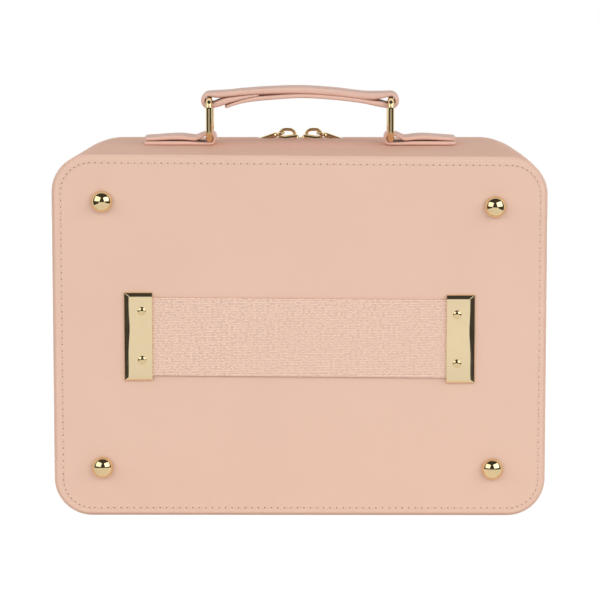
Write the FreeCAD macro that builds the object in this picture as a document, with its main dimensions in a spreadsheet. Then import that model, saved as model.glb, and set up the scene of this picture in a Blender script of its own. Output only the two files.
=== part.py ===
import FreeCAD, Part
import math
import os
import re
import Sketcher

os.makedirs("parts", exist_ok=True)
doc = FreeCAD.newDocument("TrainCase")
Vec = FreeCAD.Vector

# Driving dimensions in millimetres
sizes = {
    "case_width": 300.0,
    "case_height": 222.0,
    "tray_depth": 120.0,
    "zip_gap": 12.0,
    "lid_depth": 18.0,
    "corner_radius": 23.0,
    "lid_inset": 1.6,
    "cover_thick": 1.2,
    "board_thick": 2.8,
    "lining_thick": 0.8,
    "panel_thick": 1.6,
    "panel_inset": 2.2,
    "glue_gap": 0.1,
    "flange_width": 12.0,
    "hem_width": 8.0,
    "edge_round": 2.6,
    "rim_round": 1.8,
    "foam_thick": 2.0,
    "foam_inset": 7.0,
    "tape_thick": 0.7,
    "chain_width": 2.2,
    "chain_thick": 2.2,
    "chain_gap": 1.0,
    "zip_end_height": 7.5,
    "stop_height": 2.4,
    "hinge_margin": 28.0,
    "hinge_thick": 0.9,
    "hinge_bead": 1.1,
    "fold_gap": 0.35,
    "slider_length": 11.6,
    "slider_width": 9.4,
    "slider_plate": 1.25,
    "slider_slot": 2.7,
    "slider_web": 0.7,
    "slider_centre": 8.6,
    "bridge_length": 11.0,
    "bridge_top": 9.2,
    "bridge_wire": 2.0,
    "bridge_width": 2.6,
    "bridge_bend": 1.1,
    "pull_length": 17.0,
    "pull_width": 7.0,
    "pull_thick": 1.2,
    "pull_bar": 1.0,
    "pull_window": 3.3,
    "pull_gap": 0.5,
    "pull_tilt": 14.0,
    "foot_side": 31.0,
    "foot_low": 30.0,
    "foot_top": 29.5,
    "foot_radius": 6.2,
    "foot_height": 6.6,
    "foot_shank": 1.8,
    "washer_radius": 5.0,
    "washer_thick": 1.2,
    "plate_side": 43.4,
    "plate_width": 17.6,
    "plate_height": 53.8,
    "plate_thick": 2.8,
    "plate_bevel": 2.0,
    "band_width": 48.0,
    "band_thick": 1.2,
    "band_gap": 0.2,
    "band_tuck": 13.5,
    "rivet_offset": 6.6,
    "rivet_spread": 15.5,
    "rivet_sphere": 3.4,
    "rivet_height": 1.2,
    "rivet_shank": 1.3,
    "bore_gap": 0.1,
    "strap_width": 23.0,
    "strap_thick": 2.9,
    "tab_thick": 2.0,
    "tab_length": 41.5,
    "tab_eye": 8.0,
    "tab_dip": 9.5,
    "tab_slit": 11.5,
    "tab_crest": 16.5,
    "tab_slit_crest": 18.0,
    "ring_x": 56.5,
    "ring_wire": 1.9,
    "ring_gap": 0.25,
    "ring_rise": 23.6,
    "ring_span": 30.3,
    "ring_bend": 4.0,
    "strap_neck": 10.5,
    "strap_eye": 9.5,
    "strap_eye_rise": 0.9,
    "grip_crown": 9.4,
    "grip_shoulder": 5.5,
    "grip_belly": 2.0,
    "grip_hip": 3.5,
    "tab_rivet_near": 17.0,
    "tab_rivet_far": 27.0,
    "tab_rivet_head": 2.5,
    "tab_rivet_shank": 1.5,
    "backing_thick": 1.3,
    "backing_width": 18.0,
    "backing_margin": 6.0,
    "mirror_inset": 22.0,
    "mirror_corner": 8.0,
    "mirror_thick": 2.0,
    "bezel_width": 5.0,
    "bezel_thick": 2.6,
    "divider_depth": 80.0,
    "divider_thick": 6.0,
    "divider_height": 100.0,
    "divider_upper_x": 50.0,
    "divider_lower_x": 72.0,
    "divider_gap": 0.3,
    "divider_round": 1.5,
}

# Places that follow from the driving dimensions
derived = {
    "plate_inner": "(case_width / 2 - plate_side - plate_width)",
    "rivet_x": "(plate_inner + rivet_offset)",
    "foot_x": "(case_width / 2 - foot_side)",
    "foot_high": "(case_height - foot_top)",
    "hinge_length": "(case_width - 2 * hinge_margin)",
}

sheet = doc.addObject("Spreadsheet::Sheet", "Sizes")
for row, (alias, number) in enumerate(sizes.items(), start=1):
    sheet.set(f"A{row}", alias)
    sheet.set(f"B{row}", str(number))
    sheet.setAlias(f"B{row}", alias)
doc.recompute()


def named(match):
    word = match.group(0)
    if word in derived:
        return ex(derived[word])
    return "Sizes." + word if word in sizes else word


def ex(text):
    return re.sub(r"[a-z_]+", named, text)


def val(text):
    return float(sheet.evalExpression(re.sub(r"Sizes\.", "", ex(text))))


# Stations along the depth, from the back face to the front face
back_y = "(-(tray_depth + zip_gap + lid_depth) / 2)"
rim_y = f"({back_y} + tray_depth)"
zip_y = f"({rim_y} + zip_gap / 2)"
lid_rim_y = f"({rim_y} + zip_gap)"
front_y = f"({lid_rim_y} + lid_depth)"
cover_y = f"({back_y} + panel_thick)"
board_y = f"({cover_y} + cover_thick + glue_gap)"
foam_y = f"({board_y} + board_thick)"
lining_y = f"({foam_y} + foam_thick + glue_gap)"
inside_y = f"({lining_y} + lining_thick)"
lid_cover_y = f"({front_y} - panel_thick)"
lid_board_y = f"({lid_cover_y} - cover_thick - glue_gap)"
lid_lining_y = f"({lid_board_y} - board_thick - glue_gap)"
lid_inside_y = f"({lid_lining_y} - lining_thick)"

# Insets of each layer from the outline of the tray
board_in = "(cover_thick + glue_gap)"
lining_in = f"({board_in} + board_thick + glue_gap)"
inside_in = f"({lining_in} + lining_thick)"
hem_in = "(lid_inset + cover_thick)"
tape_in = f"({hem_in} + glue_gap / 2)"
tape_mid = f"({tape_in} + tape_thick / 2)"
lid_board_in = "(lid_inset + cover_thick + glue_gap)"
lid_lining_in = f"({lid_board_in} + board_thick + glue_gap)"
lid_inside_in = f"({lid_lining_in} + lining_thick)"
zip_z = f"(case_height - {tape_mid})"
hinge_z = f"({tape_in} + hinge_thick / 2)"

# Heights of the handle
ring_low = "(case_height + tab_thick + ring_wire + ring_gap)"
ring_high = f"({ring_low} + ring_rise)"
strap_z = "(case_height / 2)"

made = []


def keep(obj, label):
    obj.Label = label
    made.append(obj)
    return obj


def new_body(label):
    return keep(doc.addObject("PartDesign::Body", label), label)


def sketch_on(body, role, offset):
    sk = body.newObject("Sketcher::SketchObject", "Sketch")
    plane = [f for f in body.Origin.OriginFeatures if f.Role == role][0]
    sk.AttachmentSupport = [(plane, "")]
    sk.MapMode = "FlatFace"
    sk.setExpression("AttachmentOffset.Base.z", ex(offset))
    return sk


def face_sketch(body, y):
    return sketch_on(body, "XZ_Plane", f"-({y})")


def bind(sk, constraint, expression):
    index = sk.addConstraint(constraint)
    name = f"size{index}"
    sk.renameConstraint(index, name)
    sk.setExpression("Constraints." + name, ex(expression))


def rounded(sk, x0, x1, z0, z1, radius):
    a, b, c, d, r = val(x0), val(x1), val(z0), val(z1), val(radius)
    corners = [(b - r, c + r, -90), (b - r, d - r, 0), (a + r, d - r, 90), (a + r, c + r, 180)]
    ends = [((a + r, c), (b - r, c)), ((b, c + r), (b, d - r)), ((b - r, d), (a + r, d)), ((a, d - r), (a, c + r))]
    lines = []
    arcs = []
    for (p, q) in ends:
        lines.append(sk.addGeometry(Part.LineSegment(Vec(p[0], p[1], 0), Vec(q[0], q[1], 0))))
    for (cx, cz, start) in corners:
        circle = Part.Circle(Vec(cx, cz, 0), Vec(0, 0, 1), r)
        arcs.append(sk.addGeometry(Part.ArcOfCircle(circle, math.radians(start), math.radians(start + 90))))
    for i in range(4):
        sk.addConstraint(Sketcher.Constraint("Tangent", lines[i], 2, arcs[i], 1))
        sk.addConstraint(Sketcher.Constraint("Tangent", arcs[i], 2, lines[(i + 1) % 4], 1))
    for i, kind in enumerate(("Horizontal", "Vertical", "Horizontal", "Vertical")):
        sk.addConstraint(Sketcher.Constraint(kind, lines[i]))
    for i in range(3):
        sk.addConstraint(Sketcher.Constraint("Equal", arcs[i], arcs[i + 1]))
    bind(sk, Sketcher.Constraint("Radius", arcs[0], r), radius)
    bind(sk, Sketcher.Constraint("DistanceX", -1, 1, lines[1], 1, b), x1)
    bind(sk, Sketcher.Constraint("DistanceX", lines[3], 1, lines[1], 1, b - a), f"({x1}) - ({x0})")
    bind(sk, Sketcher.Constraint("DistanceY", -1, 1, lines[2], 1, d), z1)
    bind(sk, Sketcher.Constraint("DistanceY", lines[0], 1, lines[2], 1, d - c), f"({z1}) - ({z0})")


def outline(sk, inset, radius=None):
    rounded(sk, f"-(case_width / 2 - {inset})", f"case_width / 2 - {inset}", inset, f"case_height - {inset}",
            radius or f"corner_radius - {inset}")


def rectangle(sk, x0, x1, z0, z1):
    a, b, c, d = val(x0), val(x1), val(z0), val(z1)
    points = [(a, c), (b, c), (b, d), (a, d)]
    lines = []
    for i in range(4):
        p, q = points[i], points[(i + 1) % 4]
        lines.append(sk.addGeometry(Part.LineSegment(Vec(p[0], p[1], 0), Vec(q[0], q[1], 0))))
    for i in range(4):
        sk.addConstraint(Sketcher.Constraint("Coincident", lines[i], 2, lines[(i + 1) % 4], 1))
    for i, kind in enumerate(("Horizontal", "Vertical", "Horizontal", "Vertical")):
        sk.addConstraint(Sketcher.Constraint(kind, lines[i]))
    bind(sk, Sketcher.Constraint("DistanceX", -1, 1, lines[1], 1, b), x1)
    bind(sk, Sketcher.Constraint("DistanceX", lines[3], 1, lines[1], 1, b - a), f"({x1}) - ({x0})")
    bind(sk, Sketcher.Constraint("DistanceY", -1, 1, lines[2], 1, d), z1)
    bind(sk, Sketcher.Constraint("DistanceY", lines[0], 1, lines[2], 1, d - c), f"({z1}) - ({z0})")


def circle(sk, x, z, radius):
    centre = Vec(val(x), val(z), 0)
    index = sk.addGeometry(Part.Circle(centre, Vec(0, 0, 1), val(radius)))
    bind(sk, Sketcher.Constraint("Radius", index, val(radius)), radius)
    bind(sk, Sketcher.Constraint("DistanceX", -1, 1, index, 3, centre.x), x)
    if abs(centre.y) < 1e-9:
        sk.addConstraint(Sketcher.Constraint("PointOnObject", index, 3, -1))
    else:
        bind(sk, Sketcher.Constraint("DistanceY", -1, 1, index, 3, centre.y), z)


def pad(body, sk, length, forward=True, both=False):
    feature = body.newObject("PartDesign::Pad", "Pad")
    feature.Profile = sk
    feature.setExpression("Length", ex(length))
    feature.Reversed = forward
    if both:
        feature.SideType = "Symmetric"
    doc.recompute()
    return feature


def pocket(body, sk, length, forward=True):
    before = body.Shape.Volume
    feature = body.newObject("PartDesign::Pocket", "Pocket")
    feature.Profile = sk
    feature.setExpression("Length", ex(length))
    feature.Reversed = not forward
    doc.recompute()
    if body.Shape.Volume > before - 0.01:
        raise RuntimeError("pocket cuts nothing in " + body.Label)
    return feature


def edges_at_y(feature, y, outer_only):
    names = []
    for index, edge in enumerate(feature.Shape.Edges, start=1):
        box = edge.BoundBox
        if abs(box.YMin - y) < 1e-4 and abs(box.YMax - y) < 1e-4 and outer_only(box):
            names.append(f"Edge{index}")
    return names


def fillet(body, feature, names, radius):
    shape = body.newObject("PartDesign::Fillet", "Fillet")
    shape.Base = (feature, names)
    shape.setExpression("Radius", ex(radius))
    doc.recompute()
    return shape


def box(x0, x1, y0, y1, z0, z1):
    obj = doc.addObject("Part::Box", "Block")
    obj.setExpression("Length", ex(f"({x1}) - ({x0})"))
    obj.setExpression("Width", ex(f"({y1}) - ({y0})"))
    obj.setExpression("Height", ex(f"({z1}) - ({z0})"))
    obj.setExpression("Placement.Base.x", ex(x0))
    obj.setExpression("Placement.Base.y", ex(y0))
    obj.setExpression("Placement.Base.z", ex(z0))
    return obj


def cylinder(axis, x, y, z, radius, length):
    obj = doc.addObject("Part::Cylinder", "Round")
    turns = {"x": FreeCAD.Rotation(Vec(0, 1, 0), 90), "y": FreeCAD.Rotation(Vec(1, 0, 0), -90), "z": FreeCAD.Rotation()}
    obj.Placement = FreeCAD.Placement(Vec(0, 0, 0), turns[axis])
    obj.setExpression("Radius", ex(radius))
    obj.setExpression("Height", ex(length))
    obj.setExpression("Placement.Base.x", ex(x))
    obj.setExpression("Placement.Base.y", ex(y))
    obj.setExpression("Placement.Base.z", ex(z))
    return obj


def back_dome(x, face, z, radius, height):
    obj = doc.addObject("Part::Sphere", "Dome")
    obj.Placement = FreeCAD.Placement(Vec(0, 0, 0), FreeCAD.Rotation(Vec(1, 0, 0), 90))
    obj.setExpression("Radius", ex(radius))
    obj.setExpression("Angle1", ex(f"asin(({radius} - {height}) / {radius})"))
    obj.Angle2 = 90
    obj.setExpression("Placement.Base.x", ex(x))
    obj.setExpression("Placement.Base.y", ex(f"({face}) + ({radius} - {height})"))
    obj.setExpression("Placement.Base.z", ex(z))
    return obj


def joined(shapes):
    obj = doc.addObject("Part::MultiFuse", "Joined")
    obj.Shapes = shapes
    doc.recompute()
    return obj


def group(shapes):
    obj = doc.addObject("Part::Compound", "Group")
    obj.Links = shapes
    doc.recompute()
    return obj


# Hardware positions shared by the layers that they pass through
feet = [("left_low", "-foot_x", "foot_low"), ("right_low", "foot_x", "foot_low"),
        ("left_high", "-foot_x", "foot_high"), ("right_high", "foot_x", "foot_high")]
rivets = [(side, f"{sign}rivet_x", f"{strap_z} {way} rivet_spread")
          for side, sign in (("left", "-"), ("right", "")) for way in ("+", "-")]
tab_rivets = [(side, f"{sign}(ring_x + {place})")
              for side, sign in (("left", "-"), ("right", "")) for place in ("tab_rivet_near", "tab_rivet_far")]


def back_bores(sk, foot_bore, rivet_bore):
    for (_, x, z) in feet:
        circle(sk, x, z, foot_bore)
    for (_, x, z) in rivets:
        circle(sk, x, z, rivet_bore)


def top_bores(body, z, length):
    sk = sketch_on(body, "XY_Plane", z)
    for (_, x) in tab_rivets:
        circle(sk, x, "0", "tab_rivet_shank + bore_gap")
    before = body.Shape.Volume
    feature = body.newObject("PartDesign::Pocket", "Bores")
    feature.Profile = sk
    feature.setExpression("Length", ex(length))
    doc.recompute()
    if body.Shape.Volume > before - 0.01:
        raise RuntimeError("bores cut nothing in " + body.Label)


# Tray cover, the leather wall with its turned flange and hem
cover = new_body("tray_cover")
sk = face_sketch(cover, cover_y)
outline(sk, "0")
first = pad(cover, sk, "tray_depth - panel_thick")
first = fillet(cover, first, edges_at_y(first, val(cover_y), lambda b: True), "edge_round")
first = fillet(cover, first, edges_at_y(first, val(rim_y), lambda b: True), "rim_round")
sk = face_sketch(cover, f"{cover_y} + cover_thick")
outline(sk, "cover_thick")
pocket(cover, sk, f"tray_depth - panel_thick - cover_thick - hem_width")
sk = face_sketch(cover, rim_y)
outline(sk, hem_in)
pocket(cover, sk, "hem_width", forward=False)
sk = face_sketch(cover, cover_y)
outline(sk, "flange_width")
pocket(cover, sk, "cover_thick")
top_bores(cover, "case_height", "cover_thick + 1")

# Tray board, the stiff shell under the leather
board = new_body("tray_board")
sk = face_sketch(board, board_y)
outline(sk, board_in)
pad(board, sk, f"({rim_y} - hem_width - fold_gap) - {board_y}")
sk = face_sketch(board, foam_y)
outline(sk, f"({board_in} + board_thick)")
pocket(board, sk, f"({rim_y} - hem_width - fold_gap) - {foam_y}")
sk = face_sketch(board, board_y)
outline(sk, "(flange_width + glue_gap)")
pad(board, sk, "cover_thick", forward=False)
sk = face_sketch(board, back_y)
back_bores(sk, "foot_shank + bore_gap", "rivet_shank + bore_gap")
pocket(board, sk, f"{foam_y} - {back_y} + 1")
top_bores(board, "case_height", f"{board_in} + board_thick + 1")

# Back panel, sewn flat over the flange
panel = new_body("back_panel")
sk = face_sketch(panel, back_y)
outline(sk, "panel_inset")
back_bores(sk, "foot_shank + bore_gap", "rivet_shank + bore_gap")
pad(panel, sk, "panel_thick")

# Foam between the back board and the lining, open round the washers
foam = new_body("back_foam")
sk = face_sketch(foam, foam_y)
outline(sk, "foam_inset")
back_bores(sk, "washer_radius + fold_gap", "washer_radius * 0.7 + fold_gap")
pad(foam, sk, "foam_thick")

# Tray lining
lining = new_body("tray_lining")
sk = face_sketch(lining, lining_y)
outline(sk, lining_in)
pad(lining, sk, f"({rim_y} - 1) - {lining_y}")
sk = face_sketch(lining, inside_y)
outline(sk, inside_in)
pocket(lining, sk, f"({rim_y} - 1) - {inside_y}")
top_bores(lining, f"case_height", f"{inside_in} + 1")


# Zip tapes and rows of teeth, open along the hinge
def zip_row(label, outer, inner, y0, y1):
    body = new_body(label)
    sk = face_sketch(body, y0)
    outline(sk, outer)
    outline(sk, inner)
    pad(body, sk, f"({y1}) - ({y0})")
    sk = face_sketch(body, y0)
    rectangle(sk, "-case_width", "case_width", "-20", "zip_end_height")
    pocket(body, sk, f"({y1}) - ({y0})")


tray_row0 = f"({zip_y} - chain_gap / 2 - chain_width)"
tray_row1 = f"({zip_y} - chain_gap / 2)"
lid_row0 = f"({zip_y} + chain_gap / 2)"
lid_row1 = f"({zip_y} + chain_gap / 2 + chain_width)"
tape_out = f"({tape_in} + tape_thick)"
row_in = f"({tape_mid} - chain_thick / 2)"
row_out = f"({tape_mid} + chain_thick / 2)"
zip_row("tray_zip_tape", tape_in, tape_out, f"{rim_y} - hem_width + fold_gap", tray_row0)
zip_row("tray_zip_teeth", row_in, row_out, tray_row0, tray_row1)
zip_row("lid_zip_tape", tape_in, tape_out, lid_row1, f"{lid_rim_y} + hem_width - fold_gap")
zip_row("lid_zip_teeth", row_in, row_out, lid_row0, lid_row1)

# Zip end stops, clipped below the last tooth of each row
stop_drop = f"(corner_radius - zip_end_height)"
stop_in = f"(case_width / 2 - corner_radius + sqrt((corner_radius - {row_out})^2 - {stop_drop}^2))"
stop_x0 = f"({stop_in} - 0.6)"
stop_x1 = f"({stop_in} + chain_thick)"
for label, y0, y1 in (("tray_zip_stops", tray_row0, tray_row1), ("lid_zip_stops", lid_row0, lid_row1)):
    right = box(stop_x0, stop_x1, y0, y1, "zip_end_height - stop_height", "zip_end_height")
    left = box(f"-{stop_x1}", f"-{stop_x0}", y0, y1, "zip_end_height - stop_height", "zip_end_height")
    keep(group([left, right]), label)

# Hinge strip along the bottom, parted at its fold
half = "hinge_length / 2"
strip = box(f"-{half}", half, f"{rim_y} - hem_width + fold_gap", zip_y, tape_in, f"{tape_in} + hinge_thick")
bead = cylinder("x", f"-{half}", zip_y, hinge_z, "hinge_bead", "hinge_length")
keep(joined([strip, bead]), "hinge_strip")
flap = box(f"-{half}", half, f"{zip_y} + hinge_bead + fold_gap", f"{lid_rim_y} + hem_width - fold_gap",
           tape_in, f"{tape_in} + hinge_thick")
keep(flap, "hinge_strip_lid_half")

# Lid cover
cover = new_body("lid_cover")
sk = face_sketch(cover, lid_rim_y)
outline(sk, "lid_inset")
first = pad(cover, sk, "lid_depth - panel_thick")
fillet(cover, first, edges_at_y(first, val(lid_cover_y), lambda b: True), "edge_round")
sk = face_sketch(cover, lid_rim_y)
outline(sk, hem_in)
pocket(cover, sk, "lid_depth - panel_thick - cover_thick")
sk = face_sketch(cover, lid_rim_y)
outline(sk, "(lid_inset + flange_width)")
pocket(cover, sk, "lid_depth")

# Lid board
board = new_body("lid_board")
sk = face_sketch(board, f"{lid_rim_y} + hem_width + fold_gap")
outline(sk, lid_board_in)
pad(board, sk, f"{lid_board_y} - ({lid_rim_y} + hem_width + fold_gap)")
sk = face_sketch(board, f"{lid_rim_y} + hem_width + fold_gap")
outline(sk, f"({lid_board_in} + board_thick)")
pocket(board, sk, f"{lid_board_y} - board_thick - ({lid_rim_y} + hem_width + fold_gap)")
sk = face_sketch(board, lid_board_y)
outline(sk, "(lid_inset + flange_width + glue_gap)")
pad(board, sk, "cover_thick")

# Front panel
panel = new_body("front_panel")
sk = face_sketch(panel, lid_cover_y)
outline(sk, "(lid_inset + panel_inset)")
pad(panel, sk, "panel_thick")

# Lid lining
lining = new_body("lid_lining")
sk = face_sketch(lining, f"{lid_rim_y} + 1")
outline(sk, lid_lining_in)
pad(lining, sk, f"{lid_lining_y} - ({lid_rim_y} + 1)")
sk = face_sketch(lining, f"{lid_rim_y} + 1")
outline(sk, lid_inside_in)
pocket(lining, sk, f"{lid_inside_y} - ({lid_rim_y} + 1)")

# Mirror in the lid
glass = new_body("mirror_glass")
sk = face_sketch(glass, f"{lid_inside_y} - mirror_thick")
outline(sk, "(mirror_inset + bezel_width)", "mirror_corner")
pad(glass, sk, "mirror_thick")
bezel = new_body("mirror_bezel")
sk = face_sketch(bezel, f"{lid_inside_y} - bezel_thick")
outline(sk, "mirror_inset", "mirror_corner + bezel_width")
outline(sk, "(mirror_inset + bezel_width - glue_gap)", "mirror_corner + glue_gap")
pad(bezel, sk, "bezel_thick")

# Feet on the back, with washers under the lining
for (name, x, z) in feet:
    dome = back_dome(x, back_y, z, "foot_radius", "foot_height")
    shank = cylinder("y", x, f"{back_y} - foot_height / 2", z, "foot_shank", f"{foam_y} + washer_thick - {back_y} + foot_height / 2")
    keep(joined([dome, shank]), "foot_" + name)


def washers(places, radius, bore):
    shapes = []
    for (_, x, z) in places:
        disc = cylinder("y", x, foam_y, z, radius, "washer_thick")
        core = cylinder("y", x, foam_y, z, bore, "washer_thick")
        cut = doc.addObject("Part::Cut", "Washer")
        cut.Base = disc
        cut.Tool = core
        shapes.append(cut)
    return shapes


keep(group(washers(feet, "washer_radius", "foot_shank + bore_gap / 2")), "foot_washers")
keep(group(washers(rivets, "washer_radius * 0.7", "rivet_shank + bore_gap / 2")), "strap_washers")

# Elastic trolley band with its two end plates
band = new_body("trolley_band")
sk = face_sketch(band, f"{back_y} - band_gap")
rectangle(sk, "-(plate_inner + band_tuck)", "plate_inner + band_tuck", f"{strap_z} - band_width / 2", f"{strap_z} + band_width / 2")
for (_, x, z) in rivets:
    circle(sk, x, z, "rivet_shank + bore_gap")
pad(band, sk, "band_thick", forward=False)

for side, sign in (("left", -1), ("right", 1)):
    near = "plate_inner" if sign > 0 else "-(plate_inner + plate_width)"
    far = "plate_inner + plate_width" if sign > 0 else "-plate_inner"
    plate = new_body("strap_plate_" + side)
    sk = face_sketch(plate, back_y)
    rectangle(sk, near, far, f"{strap_z} - plate_height / 2", f"{strap_z} + plate_height / 2")
    first = pad(plate, sk, "plate_thick", forward=False)
    inner_edge = val("plate_inner") * sign
    names = edges_at_y(first, val(back_y) - val("plate_thick"),
                       lambda b: not (abs(b.XMin - inner_edge) < 1e-4 and abs(b.XMax - inner_edge) < 1e-4))
    bevel = plate.newObject("PartDesign::Chamfer", "Chamfer")
    bevel.Base = (first, names)
    bevel.setExpression("Size", ex("plate_bevel"))
    doc.recompute()
    sk = face_sketch(plate, back_y)
    tuck0 = "plate_inner - 2" if sign > 0 else "-(plate_inner + band_tuck + fold_gap)"
    tuck1 = "plate_inner + band_tuck + fold_gap" if sign > 0 else "-(plate_inner - 2)"
    rectangle(sk, tuck0, tuck1, f"{strap_z} - band_width / 2 - fold_gap", f"{strap_z} + band_width / 2 + fold_gap")
    pocket(plate, sk, "band_gap + band_thick + glue_gap", forward=False)
    sk = face_sketch(plate, back_y)
    for (which, x, z) in rivets:
        if which == side:
            circle(sk, x, z, "rivet_shank + bore_gap / 2")
    pocket(plate, sk, "plate_thick + 1", forward=False)
    heads = []
    for (which, x, z) in rivets:
        if which == side:
            face = f"{back_y} - plate_thick"
            dome = back_dome(x, face, z, "rivet_sphere", "rivet_height")
            shank = cylinder("y", x, f"{face} - rivet_height / 2", z, "rivet_shank",
                             f"{foam_y} + washer_thick - ({face}) + rivet_height / 2")
            heads.append(joined([dome, shank]))
    keep(group(heads), "strap_rivets_" + side)

# Carry handle, two folded tabs, two wire rings and one looped strap
top_z = val("case_height")
tab_thick = val("tab_thick")
bore = val("ring_wire") + val("ring_gap")
half_width = val("strap_width") / 2


def prism(path, width):
    face = Part.Face(Part.Wire(Part.__sortEdges__([edge.toShape() for edge in path])))
    face.translate(Vec(0, -width / 2, 0))
    return face.extrude(Vec(0, width, 0))


def line(p, q):
    return Part.LineSegment(p, q)


def polar(centre, radius, degrees):
    turn = math.radians(degrees)
    return Vec(centre.x + radius * math.cos(turn), 0, centre.z + radius * math.sin(turn))


def folded_tab(ring_x, length):
    mid = Vec(0, 0, tab_thick + bore)
    wide = tab_thick + bore
    dip = Vec(val("tab_dip"), 0, 2.15 * tab_thick)
    crest = Vec(val("tab_crest"), 0, 3.3 * tab_thick)
    slope = Vec(0.66 * length, 0, 2.45 * tab_thick)
    end_low = Vec(length, 0, 0)
    end_high = Vec(length, 0, 2.1 * tab_thick)
    top = polar(mid, wide, 60)
    skin = [line(end_low, Vec(0, 0, 0)), Part.Arc(Vec(0, 0, 0), polar(mid, wide, 180), top), line(top, dip),
            Part.Arc(dip, crest, slope), line(slope, end_high), line(end_high, end_low)]
    inner = polar(mid, bore, 60)
    foot = Vec(0, 0, tab_thick)
    apex = Vec(val("tab_eye"), 0, 1.1 * tab_thick)
    eye = [Part.Arc(foot, polar(mid, bore, 180), inner), line(inner, apex), line(apex, foot)]
    slit_near = Vec(val("tab_slit"), 0, tab_thick)
    slit_far = Vec(0.9 * length, 0, tab_thick)
    slit = [line(slit_near, slit_far), Part.Arc(slit_far, Vec(val("tab_slit_crest"), 0, 2.1 * tab_thick), slit_near)]
    solid = prism(skin, 2 * half_width).cut(prism(eye, 3 * half_width)).cut(prism(slit, 3 * half_width))
    for place in ("tab_rivet_near", "tab_rivet_far"):
        hole = Part.makeCylinder(val("tab_rivet_shank") + val("bore_gap"), tab_thick, Vec(val(place), 0, 0))
        solid = solid.cut(hole)
    solid.translate(Vec(ring_x, 0, top_z))
    return solid


right_tab = folded_tab(val("ring_x"), val("tab_length"))
left_tab = right_tab.mirror(Vec(0, 0, 0), Vec(1, 0, 0))
for label, solid in (("handle_tab_left", left_tab), ("handle_tab_right", right_tab)):
    tab = doc.addObject("Part::Feature", label)
    tab.Shape = solid
    keep(tab, label)

for side, sign in (("left", "-"), ("right", "")):
    inner_top = f"(case_height - {inside_in})"
    plate_bottom = f"({inner_top} - backing_thick)"
    low = "(ring_x + tab_rivet_near - backing_margin)"
    high = "(ring_x + tab_rivet_far + backing_margin)"
    x0, x1 = (low, high) if side == "right" else (f"-{high}", f"-{low}")
    plate = box(x0, x1, "-backing_width / 2", "backing_width / 2", plate_bottom, inner_top)
    pins = []
    bores = []
    for (which, x) in tab_rivets:
        if which != side:
            continue
        bores.append(cylinder("z", x, "0", plate_bottom, "tab_rivet_shank + bore_gap / 2", "backing_thick"))
        shank = cylinder("z", x, "0", f"{plate_bottom} - 0.5", "tab_rivet_shank", f"case_height + tab_thick + 0.5 - {plate_bottom}")
        head = cylinder("z", x, "0", "case_height + tab_thick", "tab_rivet_head", "0.8")
        tail = cylinder("z", x, "0", f"{plate_bottom} - 0.9", "tab_rivet_head", "0.9")
        pins.append(joined([shank, head, tail]))
    cut = doc.addObject("Part::Cut", "Backing")
    cut.Base = plate
    cut.Tool = joined(bores)
    keep(cut, "handle_backing_plate_" + side)
    keep(group(pins), "handle_rivets_" + side)

for side, sign in (("left", "-"), ("right", "")):
    ring = new_body("handle_ring_" + side)
    spine = sketch_on(ring, "YZ_Plane", "0")
    rounded(spine, "-ring_span / 2", "ring_span / 2", ring_low, ring_high, "ring_bend")
    profile = sketch_on(ring, "XY_Plane", f"{ring_low} + ring_rise / 2")
    index = profile.addGeometry(Part.Circle(Vec(0, val("ring_span / 2"), 0), Vec(0, 0, 1), val("ring_wire")))
    bind(profile, Sketcher.Constraint("Radius", index, val("ring_wire")), "ring_wire")
    profile.addConstraint(Sketcher.Constraint("PointOnObject", index, 3, -2))
    bind(profile, Sketcher.Constraint("DistanceY", -1, 1, index, 3, val("ring_span / 2")), "ring_span / 2")
    doc.recompute()
    wire = ring.newObject("PartDesign::AdditivePipe", "Wire")
    wire.Profile = profile
    wire.Spine = (spine, [f"Edge{i + 1}" for i in range(len(spine.Shape.Edges))])
    ring.setExpression("Placement.Base.x", ex(sign + "ring_x"))
    doc.recompute()


def looped_strap():
    loop = bore + val("strap_thick")
    left = Vec(-val("ring_x"), 0, 0)
    right = Vec(val("ring_x"), 0, 0)
    neck = val("ring_x") - val("strap_neck")
    high_l = Vec(-neck, 0, val("grip_shoulder"))
    high_r = Vec(neck, 0, val("grip_shoulder"))
    low_l = Vec(-neck, 0, -val("grip_hip"))
    low_r = Vec(neck, 0, -val("grip_hip"))
    skin = [line(polar(left, loop, 75), high_l), Part.Arc(high_l, Vec(0, 0, val("grip_crown")), high_r),
            line(high_r, polar(right, loop, 105)),
            Part.Arc(polar(right, loop, 105), polar(right, loop, 0), polar(right, loop, -105)),
            line(polar(right, loop, -105), low_r), Part.Arc(low_r, Vec(0, 0, val("grip_belly")), low_l),
            line(low_l, polar(left, loop, -75)),
            Part.Arc(polar(left, loop, -75), polar(left, loop, 180), polar(left, loop, 75))]
    solid = prism(skin, 2 * half_width)
    for centre, way in ((left, 1), (right, -1)):
        apex = Vec(centre.x + way * val("strap_eye"), 0, val("strap_eye_rise"))
        top = Vec(centre.x, 0, bore)
        low = Vec(centre.x, 0, -bore)
        eye = [Part.Arc(top, Vec(centre.x - way * bore, 0, 0), low), line(low, apex), line(apex, top)]
        solid = solid.cut(prism(eye, 3 * half_width))
    solid.translate(Vec(0, 0, val(ring_high)))
    return solid


strap = doc.addObject("Part::Feature", "handle_strap")
strap.Shape = looped_strap()
keep(strap, "handle_strap")

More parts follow.
